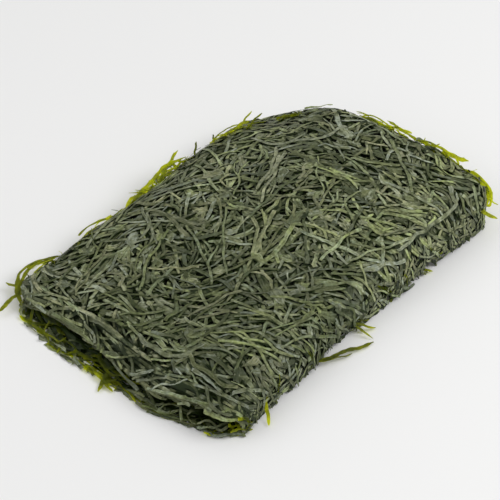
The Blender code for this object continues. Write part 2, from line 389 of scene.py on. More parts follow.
    def bowed(self, p):
        """The plan with its open end bowed out, its long sides drawn in and all its edges a little wavy."""
        x, y, z = p[..., 0], p[..., 1], p[..., 2]
        across = 1 - np.clip(y / self.half, -1, 1) ** 2
        along = 1 - np.clip(2 * x / self.length, -1, 1) ** 2
        to_open = np.clip((self.length / 2 - x) / self.length, 0, 1.2) ** 3
        to_fold = np.clip((self.length / 2 + x) / self.length, 0, 1.2) ** 3
        ends = edge_wave(y, (61, 103, 171), (0.4, 2.2, 5.0), 0.0016) * (to_open - 0.5 * to_fold)
        side = np.sign(y) * np.clip(np.abs(y) / self.half, 0, 1) ** 4
        dent = np.where(y > 0, np.exp(-((x / 0.026) ** 2)), np.exp(-(((x + 0.005) / 0.032) ** 2)))
        sides = (edge_wave(x, (47, 83, 139), (1.4, 0.2, 3.0), 0.0013) - 0.0026 * dent) * side
        narrow = np.where(y > 0, 0.0040, 0.0022) * along / self.half
        out = 0.002 * to_fold * across - self.shape.open_bow * to_open * across + ends
        return np.stack([x + out, y * (1 - narrow) + sides, z], -1)

    def placed(self, p):
        """The surface moved to its place in the frame."""
        self.shift = np.array(self.shape.middle)
        return p + self.shift

    def nearest(self, x, y, z):
        """The grid place nearest to a point, on the upper layer or the fold."""
        upper = self.points[self.first_row : self.under_row, self.first_column : self.last_column + 1]
        off = ((upper - (x, y, z)) ** 2).sum(-1)
        i, j = np.unravel_index(int(np.argmin(off)), off.shape)
        return i + self.first_row, j + self.first_column

    def rim_at(self, places):
        """The surface nearest to some places, and the level directions that lead away from the mat there."""
        upper = (slice(self.first_row, self.under_row), slice(self.first_column, self.last_column + 1))
        points = self.points[upper].reshape(-1, 3)
        normals = self.normals[upper].reshape(-1, 3)
        off = ((points[None] - places[:, None]) ** 2).sum(-1)
        best = off.argmin(1)
        outward = normals[best] * (1.0, 1.0, 0.0)
        outward /= np.maximum(np.linalg.norm(outward, axis=1, keepdims=True), 1e-6)
        return points[best].copy(), outward

    def make_normals(self):
        along = np.gradient(self.points, axis=0)
        across = np.gradient(self.points, axis=1)
        n = np.cross(along, across)
        for _ in range(2):
            n /= np.maximum(np.linalg.norm(n, axis=2, keepdims=True), 1e-12)
            padded = np.pad(n, ((1, 1), (1, 1), (0, 0)), mode="edge")
            n = padded[:-2, 1:-1] + padded[2:, 1:-1] + padded[1:-1, :-2] + padded[1:-1, 2:] + 2 * n
        return n / np.maximum(np.linalg.norm(n, axis=2, keepdims=True), 1e-12)

    def from_open_edge(self, rows):
        """Distance of rows from the open edge of their layer."""
        top = (rows - self.first_row) * ROW_STEP
        under = (self.last_row - rows) * ROW_STEP
        return np.minimum(top, under)

    def gap_at(self, across):
        """Height of the gap between the layers at the open end."""
        return self.shape.gap * np.clip((-0.12 - across) / 0.75, 0, 1) ** 0.8 * (1 - np.clip(np.abs(across), 0, 1) ** 10)

    def make_depth(self):
        s = self.shape
        rows = np.arange(self.rows)[:, None]
        is_under = rows >= self.under_row
        inner = np.where(is_under, self.strands.heap_under, self.strands.heap)
        across = np.clip(self.across, -1, 1)[None, :]
        upper = np.clip(self.points[..., 2] - s.lower_edge - self.gap_at(across), self.OPEN_EDGE, 0.0140)
        wedge = 0.0075 - 0.0045 * smooth_step((0.25 - across) / 0.6)
        rise = 0.25 + 0.75 * smooth_step(self.from_open_edge(rows) / wedge)
        edge = np.where(is_under, (s.lower_edge - s.seat + 0.0008) * rise, upper)
        near = 1 - smooth_step((self.from_open_edge(rows) - 0.008) / 0.006)
        side = smooth_step((np.abs(across) - 0.86) / 0.08)
        at_side = np.where(is_under, 0.0026, 0.0030)
        depth = inner + (at_side - inner) * side
        return depth + (edge - depth) * near


def sample(grid, i, j):
    """The grid's values between its points."""
    i = np.minimum(np.maximum(i, 0), grid.shape[0] - 1.001)
    j = np.minimum(np.maximum(j, 0), grid.shape[1] - 1.001)
    a = i.astype(int)
    b = j.astype(int)
    s = i - a
    t = j - b
    if grid.ndim == 3:
        s = s[..., None]
        t = t[..., None]
    low = grid[a, b] * (1 - t) + grid[a, b + 1] * t
    high = grid[a + 1, b] * (1 - t) + grid[a + 1, b + 1] * t
    return low * (1 - s) + high * s


# ---------------------------------------------------------------- laying the strips


class Strand:
    """One strip on the mat: its line on the grid, its height over the core and its form."""

    __slots__ = ("i", "j", "height", "tilt", "width", "thick", "curl", "tone", "lift", "along", "rim")

    def __init__(self, **values):
        for name, value in values.items():
            setattr(self, name, value)


class Web:
    """A torn piece of fused strips: a small sheet draped over the heap."""

    __slots__ = ("i", "j", "height", "thick", "tone", "share")

    def __init__(self, **values):
        for name, value in values.items():
            setattr(self, name, value)


class Bed:
    """The height map that strips are laid on, lowest places first."""

    SAG = 0.00005  # how far a strip's point may hang under the middle of its neighbours
    TRIES = 7  # places compared for each throw
    TURNS = 3  # directions compared at the chosen place

    def __init__(self, surface, settings, rng):
        self.surface = surface
        self.settings = settings
        self.rng = rng
        self.height = np.zeros((surface.rows * FINE, surface.columns * FINE), np.float32)
        self.strands = []
        self.webs = []
        self.row_size = surface.row_size.tolist()
        self.column_size = surface.column_size.tolist()
        area = surface.row_size * surface.column_size
        keep = np.zeros_like(area)
        inside = (slice(surface.first_row, surface.last_row + 1), slice(surface.first_column, surface.last_column + 1))
        keep[inside] = area[inside]
        self.picks = np.cumsum(keep.ravel())
        self.swirl = [
            (rng.uniform(0.15, 1.0) * 160, rng.uniform(0, 2 * math.pi), rng.uniform(0, 2 * math.pi)) for _ in range(7)
        ]

    def random_place(self):
        """The lowest of a few random places, and how much room it has."""
        s = self.surface
        at = np.searchsorted(self.picks, self.rng.uniform(0, self.picks[-1], self.TRIES))
        i = at // s.columns
        j = at % s.columns
        room = s.depth[i, j] - self.height[i * FINE + 1, j * FINE + 1]
        best = int(np.argmax(room))
        shift = self.rng.uniform(-0.5, 0.5, 2)
        return i[best] + shift[0], j[best] + shift[1], room[best]

    def swirl_angle(self, i, j):
        """The local direction that neighbouring strips share."""
        x, y = i * ROW_STEP, j * ROW_STEP
        total = 0.0
        for rate, heading, phase in self.swirl:
            total += math.sin(rate * (x * math.cos(heading) + y * math.sin(heading)) + phase)
        return total * 1.1

    def heading(self, i, j):
        """A direction for a strip at a place: 0 runs along the rows, from the open end to the fold."""
        s = self.surface
        rng = self.rng
        on_top = i < s.fold_row
        across = 2 * (j - s.first_column) / (COLUMNS - 1) - 1
        from_open = s.from_open_edge(i)
        from_fold = abs(s.fold_row + ROWS_FOLD / 2 - i) * ROW_STEP
        if from_open < 0.028 and rng.random() < 0.88:
            return math.pi / 2 + rng.normal(0, 0.16)
        if across > 0.62 and rng.random() < 0.80:
            return rng.normal(0, 0.20)
        if across < -0.58 and on_top and from_open > 0.060 and rng.random() < 0.78:
            return math.pi / 2 + rng.normal(0.10, 0.24)
        if across < -0.80 and rng.random() < 0.45:
            return rng.normal(0, 0.30)
        if from_fold < 0.060 and rng.random() < 0.62:
            return math.pi / 2 + rng.normal(-0.20, 0.34)
        if rng.random() < 0.66:
            return self.swirl_angle(i, j) + rng.normal(0, 0.34)
        return rng.uniform(0, math.pi)

    def calm(self, i, j):
        """How straight strips lie at a place, from 0 to 1: they are straighter near the open end and the back side."""
        s = self.surface
        across = 2 * (j - s.first_column) / (COLUMNS - 1) - 1
        by_end = 1 - smooth_step((s.from_open_edge(i) - 0.020) / 0.020)
        by_back = smooth_step((across - 0.45) / 0.35)
        return float(max(by_end, by_back))

    def line(self, i, j, turn, before):
        """A line on the surface through a place, as grid coordinates with equal steps; turn gives its headings."""
        s = self.surface
        step = self.settings.step
        count = len(turn)
        out = np.empty((count + 1, 2))
        out[before] = i, j
        for sign, span in ((1, range(before, count)), (-1, range(before, 0, -1))):
            ci, cj = i, j
            for k in span:
                angle = turn[k] if sign > 0 else turn[k - 1]
                a = min(max(int(ci), 0), s.rows - 1)
                b = min(max(int(cj), 0), s.columns - 1)
                ci += sign * step * math.cos(angle) / self.row_size[a][b]
                cj += sign * step * math.sin(angle) / self.column_size[a][b]
                out[k + sign] = ci, cj
        return out

    def cut(self, line, at, past):
        """The stretch of a line that stays on the mat, with a short end past its edge."""
        s = self.surface
        past = past / ROW_STEP
        good = (
            (line[:, 0] > s.first_row - past)
            & (line[:, 0] < s.last_row + past)
            & (line[:, 1] > s.first_column - past)
            & (line[:, 1] < s.last_column + past)
        )
        if not good[at]:
            return None
        bad = np.flatnonzero(~good)
        first = bad[bad < at].max() + 1 if (bad < at).any() else 0
        last = bad[bad > at].min() - 1 if (bad > at).any() else len(line) - 1
        return line[first : last + 1] if last - first >= 3 else None

    def frame_of(self, line):
        """At each point of a line, the grid steps that make one metre to its left."""
        s = self.surface
        a = np.clip(line[:, 0].astype(int), 0, s.rows - 1)
        b = np.clip(line[:, 1].astype(int), 0, s.columns - 1)
        size = np.stack([s.row_size[a, b], s.column_size[a, b]], 1)
        run = np.empty_like(line)
        run[1:-1] = line[2:] - line[:-2]
        run[0] = line[1] - line[0]
        run[-1] = line[-1] - line[-2]
        run *= size
        run /= np.maximum(np.hypot(run[:, 0], run[:, 1]), 1e-9)[:, None]
        return np.stack([-run[:, 1], run[:, 0]], 1) / size

    def cells(self, spots):
        i = np.clip((spots[..., 0] * FINE).astype(np.int32), 0, self.height.shape[0] - 1)
        j = np.clip((spots[..., 1] * FINE).astype(np.int32), 0, self.height.shape[1] - 1)
        return i, j

    def rest_on(self, line, left, shoulder):
        """Heights under a line at its left, its middle and its right, for its points."""
        offsets = np.array([-shoulder, 0.0, shoulder])
        spots = refined(line)[None] + refined(left)[None] * offsets[:, None, None]
        under = self.height[self.cells(spots)]
        out = under[:, ::3].copy()
        out[:, :-1] = np.maximum(out[:, :-1], under[:, 1::3])
        out[:, 1:] = np.maximum(out[:, 1:], under[:, 2::3])
        return out

    def settle(self, z):
        """Heights of a stiff strip over what is under it: it bridges holes and bends gently over bumps."""
        for _ in range(5):
            middle = 0.5 * (z[:, :-2] + z[:, 2:]) - self.SAG
            z[:, 1:-1] = np.maximum(z[:, 1:-1], middle)
        return z

    def rest(self, line, width, twist):
        """Where a strip along a line would lie: its frame, its heights and its lean."""
        left = self.frame_of(line)
        shoulder = 0.42 * width
        low, mid, high = self.settle(self.rest_on(line, left, shoulder))
        lean = np.clip((high - low) / (2 * shoulder), -0.45, 0.45)
        lean[1:-1] = 0.25 * lean[:-2] + 0.5 * lean[1:-1] + 0.25 * lean[2:]
        at = np.arange(len(line)) * self.settings.step
        lean = np.clip(lean + twist[0] * np.sin(at * twist[1] + twist[2]), -0.9, 0.9)
        centre = np.maximum(np.maximum(mid, low + lean * shoulder), high - lean * shoulder)
        depth = sample(self.surface.depth, line[:, 0], line[:, 1])
        return left, centre, lean, centre - depth

    def stamp(self, line, left, centre, lean, widths, rise):
        """Raises the height map to the top of a strip."""
        fine = refined(line)
        side = refined(left)
        z = refined(np.stack([centre, lean], 1))
        half = refined(widths) / 2
        shares = np.array([-1.0, -0.66, -0.33, 0.0, 0.33, 0.66, 1.0])[:, None]
        reach = np.where(shares > 0, half[None, :, 0], half[None, :, 1]) * shares
        spots = fine[None] + side[None] * reach[..., None]
        np.maximum.at(self.height, self.cells(spots), (z[None, :, 0] + z[None, :, 1] * reach + rise).astype(np.float32))

    def widths(self, count, usual, rooted):
        """The width of a cut strip to the left and to the right of its line, with its free ends narrowed."""
        rng = self.rng
        t = np.linspace(0, 1, count)
        phase = rng.uniform(0, 6.3, 4)
        rate = rng.uniform(3, 14, 4)
        grow = rng.uniform(-0.25, 0.25)
        out = np.empty((count, 2))
        for side in (0, 1):
            out[:, side] = 1 + 0.16 * np.sin(t * rate[side] + phase[side])
            out[:, side] += 0.14 * np.sin(t * 3 * rate[side + 2] + phase[side + 2]) + rng.normal(0, 0.09, count)
        out *= (usual * (1 + grow * (2 * t - 1)))[:, None]
        form = rng.random(2)
        for end, share in ((0, form[0]), (-1, form[1])):
            out[end] *= 0.95 if share < 0.55 else 0.60 if share < 0.85 else 0.25
        if rooted:
            out[:2] = np.maximum(out[:2], [[1.25 * usual], [1.4 * usual]])
        return np.maximum(out, 0.0003)

    def headings(self, heading, count, before, form):
        """The headings along a strip: a bend, a wave, small kinks and sometimes a hook at an end."""
        rng = self.rng
        steps = np.arange(count) - before
        at = steps * self.settings.step
        turn = heading + form["bend"] * at + form["wave"][0] * np.sin(at * form["wave"][1] + form["wave"][2])
        kinks = rng.normal(0, form["kink"], count)
        for _ in range(int(rng.integers(0, 3))):
            kinks[int(rng.integers(0, count))] += rng.normal(0, 0.42)
        kinks = np.cumsum(kinks)
        ends = np.clip(np.abs(at) - count * self.settings.step / 2 + 0.010, 0, None) / 0.010
        turn = turn + kinks - kinks[before] + form["hook"] * np.where(at > 0, ends, 0.4 * ends) ** 1.3
        return turn.tolist()

    def try_line(self, i, j, heading, length, form, width):
        """The best-lying of a few lines near a heading."""
        count = max(int(round(length / self.settings.step)), 5)
        before = int(count * self.rng.uniform(0.3, 0.7))
        past = min(abs(self.rng.normal(0, 0.0014)), 0.0045)
        best = None
        for k in range(self.TURNS if width else 1):
            turned = heading + self.rng.normal(0, 0.28) * (k > 0)
            turn = self.headings(turned, count, before, form)
            line = self.cut(self.line(i, j, turn, before), before, past)
            if line is None:
                continue
            laid = self.rest(line, width, form["twist"])
            over = float(np.mean(laid[3]))
            if best is None or over < best[0]:
                best = (over, line, laid, turned)
        return best

    def lift(self, line, most, arched):
        """How far each point of a strip stands off the heap: one end of some strips comes loose, or their middle."""
        rng = self.rng
        if arched:
            t = np.linspace(0, 1, len(line))
            return most * rng.uniform(0.5, 1.0) * np.sin(math.pi * t ** rng.uniform(0.7, 1.4))
        s = self.surface
        out = np.zeros(len(line))
        across = 2 * (line[:, 1] - s.first_column) / (COLUMNS - 1) - 1
        at_end = rng.integers(0, 2)
        end = -1 if at_end else 0
        on_rim = abs(across[end]) > 0.80 or abs(line[end, 0] - s.fold_row - ROWS_FOLD * 0.3) < ROWS_FOLD * 0.35
        if rng.random() > (0.22 if on_rim else 0.06):
            return out
        loose = rng.uniform(0.006, 0.014)
        run = np.arange(len(line)) * self.settings.step
        run = run[-1] - run if at_end else run
        size = min(abs(rng.normal(0, most if on_rim else 0.4 * most)), 0.0020)
        return size * np.clip(1 - run / loose, 0, 1) ** 1.7

    def keep(self, line, laid, usual, tone, most_lift=0.0022, rim=False, arched=False, root=None):
        """Adds a strip that has found its place; root is where along its parent a forked strip starts."""
        rng = self.rng
        left, centre, lean, _ = laid
        widths = self.widths(len(line), usual, root is not None)
        thick = self.settings.thickness * rng.uniform(0.75, 1.35)
        curl = rng.normal(0, 0.16)
        self.stamp(line, left, centre, lean, widths, thick + 0.10 * abs(curl) * usual)
        self.strands.append(
            Strand(
                i=line[:, 0],
                j=line[:, 1],
                height=centre + thick / 2,
                tilt=lean,
                width=widths,
                thick=thick,
                curl=curl,
                tone=float(np.clip(tone, 0, 1)),
                lift=self.lift(line, most_lift, arched),
                rim=rim,
                along=np.arange(len(line)) * self.settings.step + (root or 0.0),
            )
        )

    def fork(self, parent):
        """Lets a strip fork off another and lie beside it."""
        rng = self.rng
        step = self.settings.step
        last = len(parent.i) - 1
        at = int(rng.integers(1, last))
        i, j = float(parent.i[at]), float(parent.j[at])
        a = min(max(int(i), 0), self.surface.rows - 1)
        b = min(max(int(j), 0), self.surface.columns - 1)
        ahead = (parent.i[at + 1] - parent.i[at - 1]) * self.row_size[a][b]
        aside = (parent.j[at + 1] - parent.j[at - 1]) * self.column_size[a][b]
        heading = math.atan2(aside, ahead) + (math.pi if rng.random() < 0.5 else 0.0)
        count = max(int(rng.uniform(0.008, 0.024) / step), 4)
        run = np.arange(count) * step
        spread = rng.choice((-1, 1)) * rng.uniform(0.3, 0.95)
        turn = heading + spread * np.minimum((run + step) / 0.0045, 1) + rng.normal(0, 18) * run
        turn += np.cumsum(rng.normal(0, 0.10, count))
        line = self.cut(self.line(i, j, turn.tolist(), 0), 0, 0.001)
        if line is None:
            return
        width = float(parent.width.mean()) * rng.uniform(0.6, 1.0)
        left, centre, lean, over = self.rest(line, width, (0.1, 200.0, rng.uniform(0, 6.3)))
        if over.mean() > 0.0006 or over.max() > 0.0018:
            return
        centre = centre - 0.00015 * np.clip(1 - np.arange(len(line)) * step / 0.004, 0, 1)
        self.keep(line, (left, centre, lean, over), width, parent.tone, most_lift=0.0012, root=float(parent.along[at]))

    def throw(self, most_over, least_room=0.0002):
        """Throws one strip, or a few side by side, on a low place."""
        rng = self.rng
        s = self.settings
        i, j, room = self.random_place()
        if room < least_room:
            return 0
        heading = self.heading(i, j)
        calm = self.calm(i, j)
        wild = rng.uniform(0.45, 1.40) * (1 - 0.7 * calm)
        form = {
            "bend": rng.normal(0, 9.0) * wild,
            "wave": (rng.uniform(0.0, 0.26) * wild, rng.uniform(150, 420), rng.uniform(0, 6.3)),
            "kink": rng.uniform(0.02, 0.14) * wild,
            "hook": rng.normal(0, 0.5) * wild if rng.random() < 0.22 else rng.normal(0, 0.15),
            "twist": (abs(rng.normal(0, 0.16)), rng.uniform(60, 320), rng.uniform(0, 6.3)),
        }
        many = 1 if rng.random() < 0.52 else int(rng.integers(2, 6))
        length = float(np.clip(rng.gamma(5.0, s.usual / 5.0), s.shortest, s.longest)) * (1 + 0.4 * calm)
        usual = s.width * float(np.clip(rng.normal(1.0, 0.20), 0.55, 1.6))
        tone = rng.random()
        laid = 0
        for k in range(many):
            width = usual * rng.uniform(0.85, 1.15)
            best = self.try_line(i, j, heading, length * rng.uniform(0.7, 1.15), form, width)
            if best is None or best[0] > most_over or best[2][3].max() > 3 * most_over + 0.0009:
                break
            _, line, place, heading = best
            self.keep(line, place, width, tone)
            laid += 1
            if rng.random() < s.forks:
                self.fork(self.strands[-1])
            a = min(max(int(i), 0), self.surface.rows - 1)
            b = min(max(int(j), 0), self.surface.columns - 1)
            shift = width * rng.uniform(0.70, 1.15)
            i -= shift * math.sin(heading) / self.row_size[a][b]
            j += shift * math.cos(heading) / self.column_size[a][b]
        return laid

    def web(self, i, j, heading, length, width, most_over, tone):
        """Drapes a torn, irregular sheet over the heap."""
        rng = self.rng
        s = self.surface
        step = 0.0016
        count = max(int(length / step), 5)
        t = np.linspace(-1, 1, count)
        shares = np.linspace(-1, 1, WEB_STATIONS)
        edge = np.stack([1 + 0.28 * np.sin(rng.uniform(2, 5) * t + k + rng.uniform(0, 6)) for k in (0, 1)], 1)
        edge += rng.normal(0, 0.16, edge.shape)
        edge *= (0.16 + 0.84 * np.sqrt(np.clip(1 - np.abs(t) ** 2.4, 0, 1)))[:, None]
        reach = np.where(shares[None] > 0, edge[:, :1], edge[:, 1:]) * shares[None] * width / 2
        bend = rng.normal(0, 0.22) * t**2 * length / 2
        ahead = t[:, None] * length / 2 + 0.12 * width * np.sin(3 * shares[None] + rng.uniform(0, 6))
        aside = reach + bend[:, None]
        a = min(max(int(i), 0), s.rows - 1)
        b = min(max(int(j), 0), s.columns - 1)
        spots = np.empty((count, WEB_STATIONS, 2))
        spots[..., 0] = i + (ahead * math.cos(heading) - aside * math.sin(heading)) / self.row_size[a][b]
        spots[..., 1] = j + (ahead * math.sin(heading) + aside * math.cos(heading)) / self.column_size[a][b]
        low = (s.first_row + 1, s.first_column + 1)
        high = (s.last_row - 1, s.last_column - 1)
        if (spots < low).any() or (spots > high).any():
            return 0
        z = self.height[self.cells(spots)].astype(float)
        z = np.maximum(z, smoothed(z) - 0.00008)
        z = smoothed(np.maximum(z, smoothed(smoothed(z)) - 0.00004))
        level = z - sample(s.depth, spots[..., 0], spots[..., 1])
        if level.mean() > most_over:
            return 0
        thick = self.settings.thickness * 0.75
        fine = refined(spots.reshape(count, -1)).reshape(-1, WEB_STATIONS, 2)
        top = refined(z) + thick
        for share in (0.0, 0.5):
            place = fine[:, :-1] * (1 - share) + fine[:, 1:] * share
            np.maximum.at(
                self.height, self.cells(place), (top[:, :-1] * (1 - share) + top[:, 1:] * share).astype(np.float32)
            )
        self.webs.append(Web(i=spots[..., 0], j=spots[..., 1], height=z, thick=thick, tone=tone, share=shares))
        return 1

    def small_web(self):
        """Fuses a few strips where they cross."""
        rng = self.rng
        i, j, room = self.random_place()
        if room < 0.0001 or self.surface.from_open_edge(i) < 0.014:
            return 0
        width = rng.uniform(0.0028, 0.0060)
        length = width * rng.uniform(1.2, 2.6)
        return self.web(i, j, self.heading(i, j), length, width, rng.uniform(-0.0004, 0.0002), rng.random())

    def fill(self):
        """Throws strips until the heap is full."""
        rng = self.rng
        misses = 0
        while len(self.strands) < self.settings.most and misses < 160:
            if rng.random() < self.settings.webs:
                self.small_web()
            misses = 0 if self.throw(rng.uniform(-0.0005, 0.0002)) else misses + 1

    def short_form(self):
        """The form of a short, much bent strip."""
        rng = self.rng
        return {
            "bend": rng.normal(0, 22.0),
            "wave": (rng.uniform(0.0, 0.4), rng.uniform(200, 500), rng.uniform(0, 6.3)),
            "kink": rng.uniform(0.03, 0.18),
            "hook": rng.normal(0, 0.6),
            "twist": (abs(rng.normal(0, 0.35)), rng.uniform(60, 320), rng.uniform(0, 6.3)),
        }

    def place_strip(self, i, j, heading, length, width, past, **kept):
        """Lays one strip through a place, whatever is under it."""
        form = self.short_form() if length < 0.034 else dict(self.short_form(), bend=self.rng.normal(0, 5), hook=0.0)
        count = max(int(round(length / self.settings.step)), 4)
        before = count // 2
        turn = self.headings(heading, count, before, form)
        line = self.cut(self.line(i, j, turn, before), before, past)
        if line is None:
            return
        laid = self.rest(line, width, form["twist"])
        if laid[3].mean() < 0.0016:
            self.keep(line, laid, width, self.rng.random(), **kept)

    def fringe(self, place, heading, count, reach, lift, thin):
        """Lays short strips that cross an edge and stand out past it; a share of them is thin."""
        rng = self.rng
        for _ in range(count):
            i, j = place(rng)
            width = self.settings.width * rng.uniform(0.55, 1.1)
            past = rng.uniform(0.2, 1.0) * reach
            length = rng.uniform(0.012, 0.028)
            self.place_strip(i, j, heading(rng), length, width, past, most_lift=lift, rim=rng.random() < thin)

    def patch(self, point, heading, length, width):
        """Lays a large fused piece."""
        i, j = self.surface.nearest(*point)
        self.web(i + 0.5, j + 0.5, heading, length, width, 0.01, 0.86 + 0.12 * self.rng.random())

    def top_strip(self, point, heading, length, width):
        """Lays a strip over everything else, its middle at a point."""
        i, j = self.surface.nearest(*point)
        self.place_strip(i + 0.5, j + 0.5, heading, length, width, 0.002, most_lift=0.001)


def smoothed(z):
    """A grid of heights, each blended with its neighbours."""
    wide = np.pad(z, 1, mode="edge")
    return 0.5 * z + 0.125 * (wide[:-2, 1:-1] + wide[2:, 1:-1] + wide[1:-1, :-2] + wide[1:-1, 2:])


def refined(values):
    """Values with two more between each pair."""
    out = np.empty((len(values) * 3 - 2, values.shape[1]))
    third = (values[1:] - values[:-1]) / 3
    out[::3] = values
    out[1::3] = values[:-1] + third
    out[2::3] = values[:-1] + 2 * third
    return out


# ---------------------------------------------------------------- meshes


class Batch:
    """Strips gathered into one mesh."""

    def __init__(self, name):
        self.name = name
        self.points = []
        self.faces = []
        # the last values hold each point's painted shade, from 0 to 1, by how deep it lies in the mat
        self.values = {"tone": [], "across": [], "along": [], "painted_shade": []}
        self.count = 0

    def add_strip(self, centre, side, up, width, thick, curl, tone, along, painted_shade):
        """A closed ribbon with thin edges and capped ends."""
        n = len(centre)
        shares = np.array([0.5, 0.0, -0.5, 0.0])
        levels = np.array([0.22, 0.5, 0.22, -0.5])
        arch = curl * 0.5 * (0.33 - (2 * shares) ** 2 * 0.67)
        y = shares[None] * np.where(shares[None] > 0, width[:, :1], width[:, 1:])
        z = levels[None] * thick + arch[None] * width.mean(1)[:, None]
        ring = centre[:, None] + side[:, None] * y[..., None] + up[:, None] * z[..., None]
        ring[..., 2] += np.maximum(0.00005 - ring[..., 2].min(1), 0)[:, None]
        self.points.append(ring.reshape(-1, 3))
        base = self.count + np.arange(n - 1)[:, None] * SECTION
        k = np.arange(SECTION)[None]
        m = (k + 1) % SECTION
        quads = np.stack([base + k, base + m, base + m + SECTION, base + k + SECTION], -1).reshape(-1, 4)
        a = self.count
        b = self.count + (n - 1) * SECTION
        self.faces += [quads, np.array([[a + 3, a + 2, a + 1, a], [b, b + 1, b + 2, b + 3]])]
        self.count += n * SECTION
        self.values["tone"].append(np.full(n * SECTION, tone))
        self.values["across"].append(np.tile(shares * 2, n))
        self.values["along"].append(np.repeat(along, SECTION))
        self.values["painted_shade"].append(np.repeat(painted_shade, SECTION))

    def add_web(self, top, normal, thick, tone, share, painted_shade):
        """A closed thin sheet: its upper and its lower face, joined round the rim."""
        rows, cols = top.shape[:2]
        half = normal * (0.5 * thick)
        points = np.concatenate([(top + half).reshape(-1, 3), (top - half).reshape(-1, 3)])
        points[:, 2] = np.maximum(points[:, 2], 0.00005)
        self.points.append(points)
        index = np.arange(rows * cols).reshape(rows, cols) + self.count
        under = index + rows * cols
        upper = np.stack([index[:-1, :-1], index[1:, :-1], index[1:, 1:], index[:-1, 1:]], -1).reshape(-1, 4)
        lower = np.stack([under[:-1, :-1], under[:-1, 1:], under[1:, 1:], under[1:, :-1]], -1).reshape(-1, 4)
        rim = np.concatenate([index[:, 0], index[-1, 1:], index[-2::-1, -1], index[0, -2::-1]])
        low_rim = rim + rows * cols
        side = np.stack([rim[:-1], low_rim[:-1], low_rim[1:], rim[1:]], -1)
        self.faces += [upper, lower, side]
        self.count += 2 * rows * cols
        along = np.repeat(np.arange(rows) * 0.0016, cols)
        across = np.tile(share, rows) * 2
        for name, value in (("along", along), ("across", across), ("painted_shade", painted_shade.reshape(-1))):
            self.values[name].append(np.tile(value, 2))
        self.values["tone"].append(np.full(2 * rows * cols, tone))

    def triangles(self):
        return 2 * sum(len(f) for f in self.faces)

    def build(self, material):
        points = np.concatenate(self.points)
        faces = np.concatenate(self.faces)
        mesh = bpy.data.meshes.new(self.name)
        mesh.vertices.add(len(points))
        mesh.vertices.foreach_set("co", points.astype(np.float32).ravel())
        mesh.loops.add(len(faces) * 4)
        mesh.loops.foreach_set("vertex_index", faces.astype(np.int32).ravel())
        mesh.polygons.add(len(faces))
        mesh.polygons.foreach_set("loop_start", np.arange(len(faces), dtype=np.int32) * 4)
        mesh.polygons.foreach_set("use_smooth", np.ones(len(faces), bool))
        for name, parts in self.values.items():
            layer = mesh.attributes.new(name, "FLOAT", "POINT")
            layer.data.foreach_set("value", np.concatenate(parts).astype(np.float32))
        mesh.update(calc_edges=True)
        mesh.validate()
        mesh.set_sharp_from_angle(angle=math.radians(40))
        mesh.materials.append(material)
        piece = bpy.data.objects.new(self.name, mesh)
        bpy.context.scene.collection.objects.link(piece)
        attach(piece, BODY)
        return piece


def pressed(level, press, most):
    """A height over the full heap after the mat was pressed, and how much the press flattens slopes there."""
    reach = press + most
    above = np.maximum(level + press, 0)
    flat = np.exp(-above / reach)
    return np.where(level < -press, level, -press + reach * (1 - flat)), flat


def shaded(surface, i, j, height, under):
    """How much painted shade something gets, from 0 to 1, by how deep in the mat it lies; the open end's edge and its
    gap let light in.
    """
    deep = np.clip(under / 0.0014, 0, 1)
    from_open = surface.from_open_edge(i)
    inner = np.clip(height / 0.0030 + from_open / 0.020, 0, 1)
    deep = np.where(i > surface.under_row, np.minimum(deep, inner), deep)
    return deep * np.clip((from_open + 0.001) / 0.006, 0.2, 1)


def add_web(batch, surface, web, ceiling):
    """Puts a fused piece into a batch, in its true place."""
    skin = sample(surface.points, web.i, web.j)
    normal = sample(surface.normals, web.i, web.j)
    normal /= np.linalg.norm(normal, axis=-1, keepdims=True)
    most = np.where(web.i > surface.under_row, 0.0, 0.0004)
    level, _ = pressed(web.height + web.thick / 2 - sample(surface.depth, web.i, web.j), surface.strands.press, most)
    under = sample(ceiling, web.i * FINE, web.j * FINE) - web.height
    if under.min() > HIDDEN:
        return
    # painted shade, by how deep the piece lies under the strips over it
    painted_shade = shaded(surface, web.i, web.j, web.height, under)
    batch.add_web(skin + normal * level[..., None], normal, web.thick, web.tone, web.share, painted_shade)


def add_strand(batch, surface, strand, ceiling):
    """Puts a laid strip into a batch, in its true place."""
    i, j = strand.i, strand.j
    skin = sample(surface.points, i, j)
    normal = sample(surface.normals, i, j)
    normal /= np.linalg.norm(normal, axis=1, keepdims=True)
    depth = sample(surface.depth, i, j)
    most = np.where(i > surface.under_row, 0.0, 0.0004)
    level, flat = pressed(strand.height - depth, surface.strands.press, most)
    centre = skin + normal * (level + strand.lift)[:, None]
    run = np.gradient(centre, axis=0)
    run /= np.maximum(np.linalg.norm(run, axis=1, keepdims=True), 1e-9)
    side = np.cross(normal, run)
    side /= np.maximum(np.linalg.norm(side, axis=1, keepdims=True), 1e-9)
    up = np.cross(run, side)
    lean = np.arctan(strand.tilt * flat)[:, None]
    tilted = side * np.cos(lean) + up * np.sin(lean)
    over = up * np.cos(lean) - side * np.sin(lean)
    top = sample(ceiling, i * FINE, j * FINE)
    under = top - strand.height
    if under.min() > HIDDEN and surface.from_open_edge(i).min() > 0.009:
        return
    # painted shade, by how deep the strip lies under the strips over it
    painted_shade = shaded(surface, i, j, strand.height, under)
    batch.add_strip(centre, tilted, over, strand.width, strand.thick, strand.curl, strand.tone, strand.along, painted_shade)


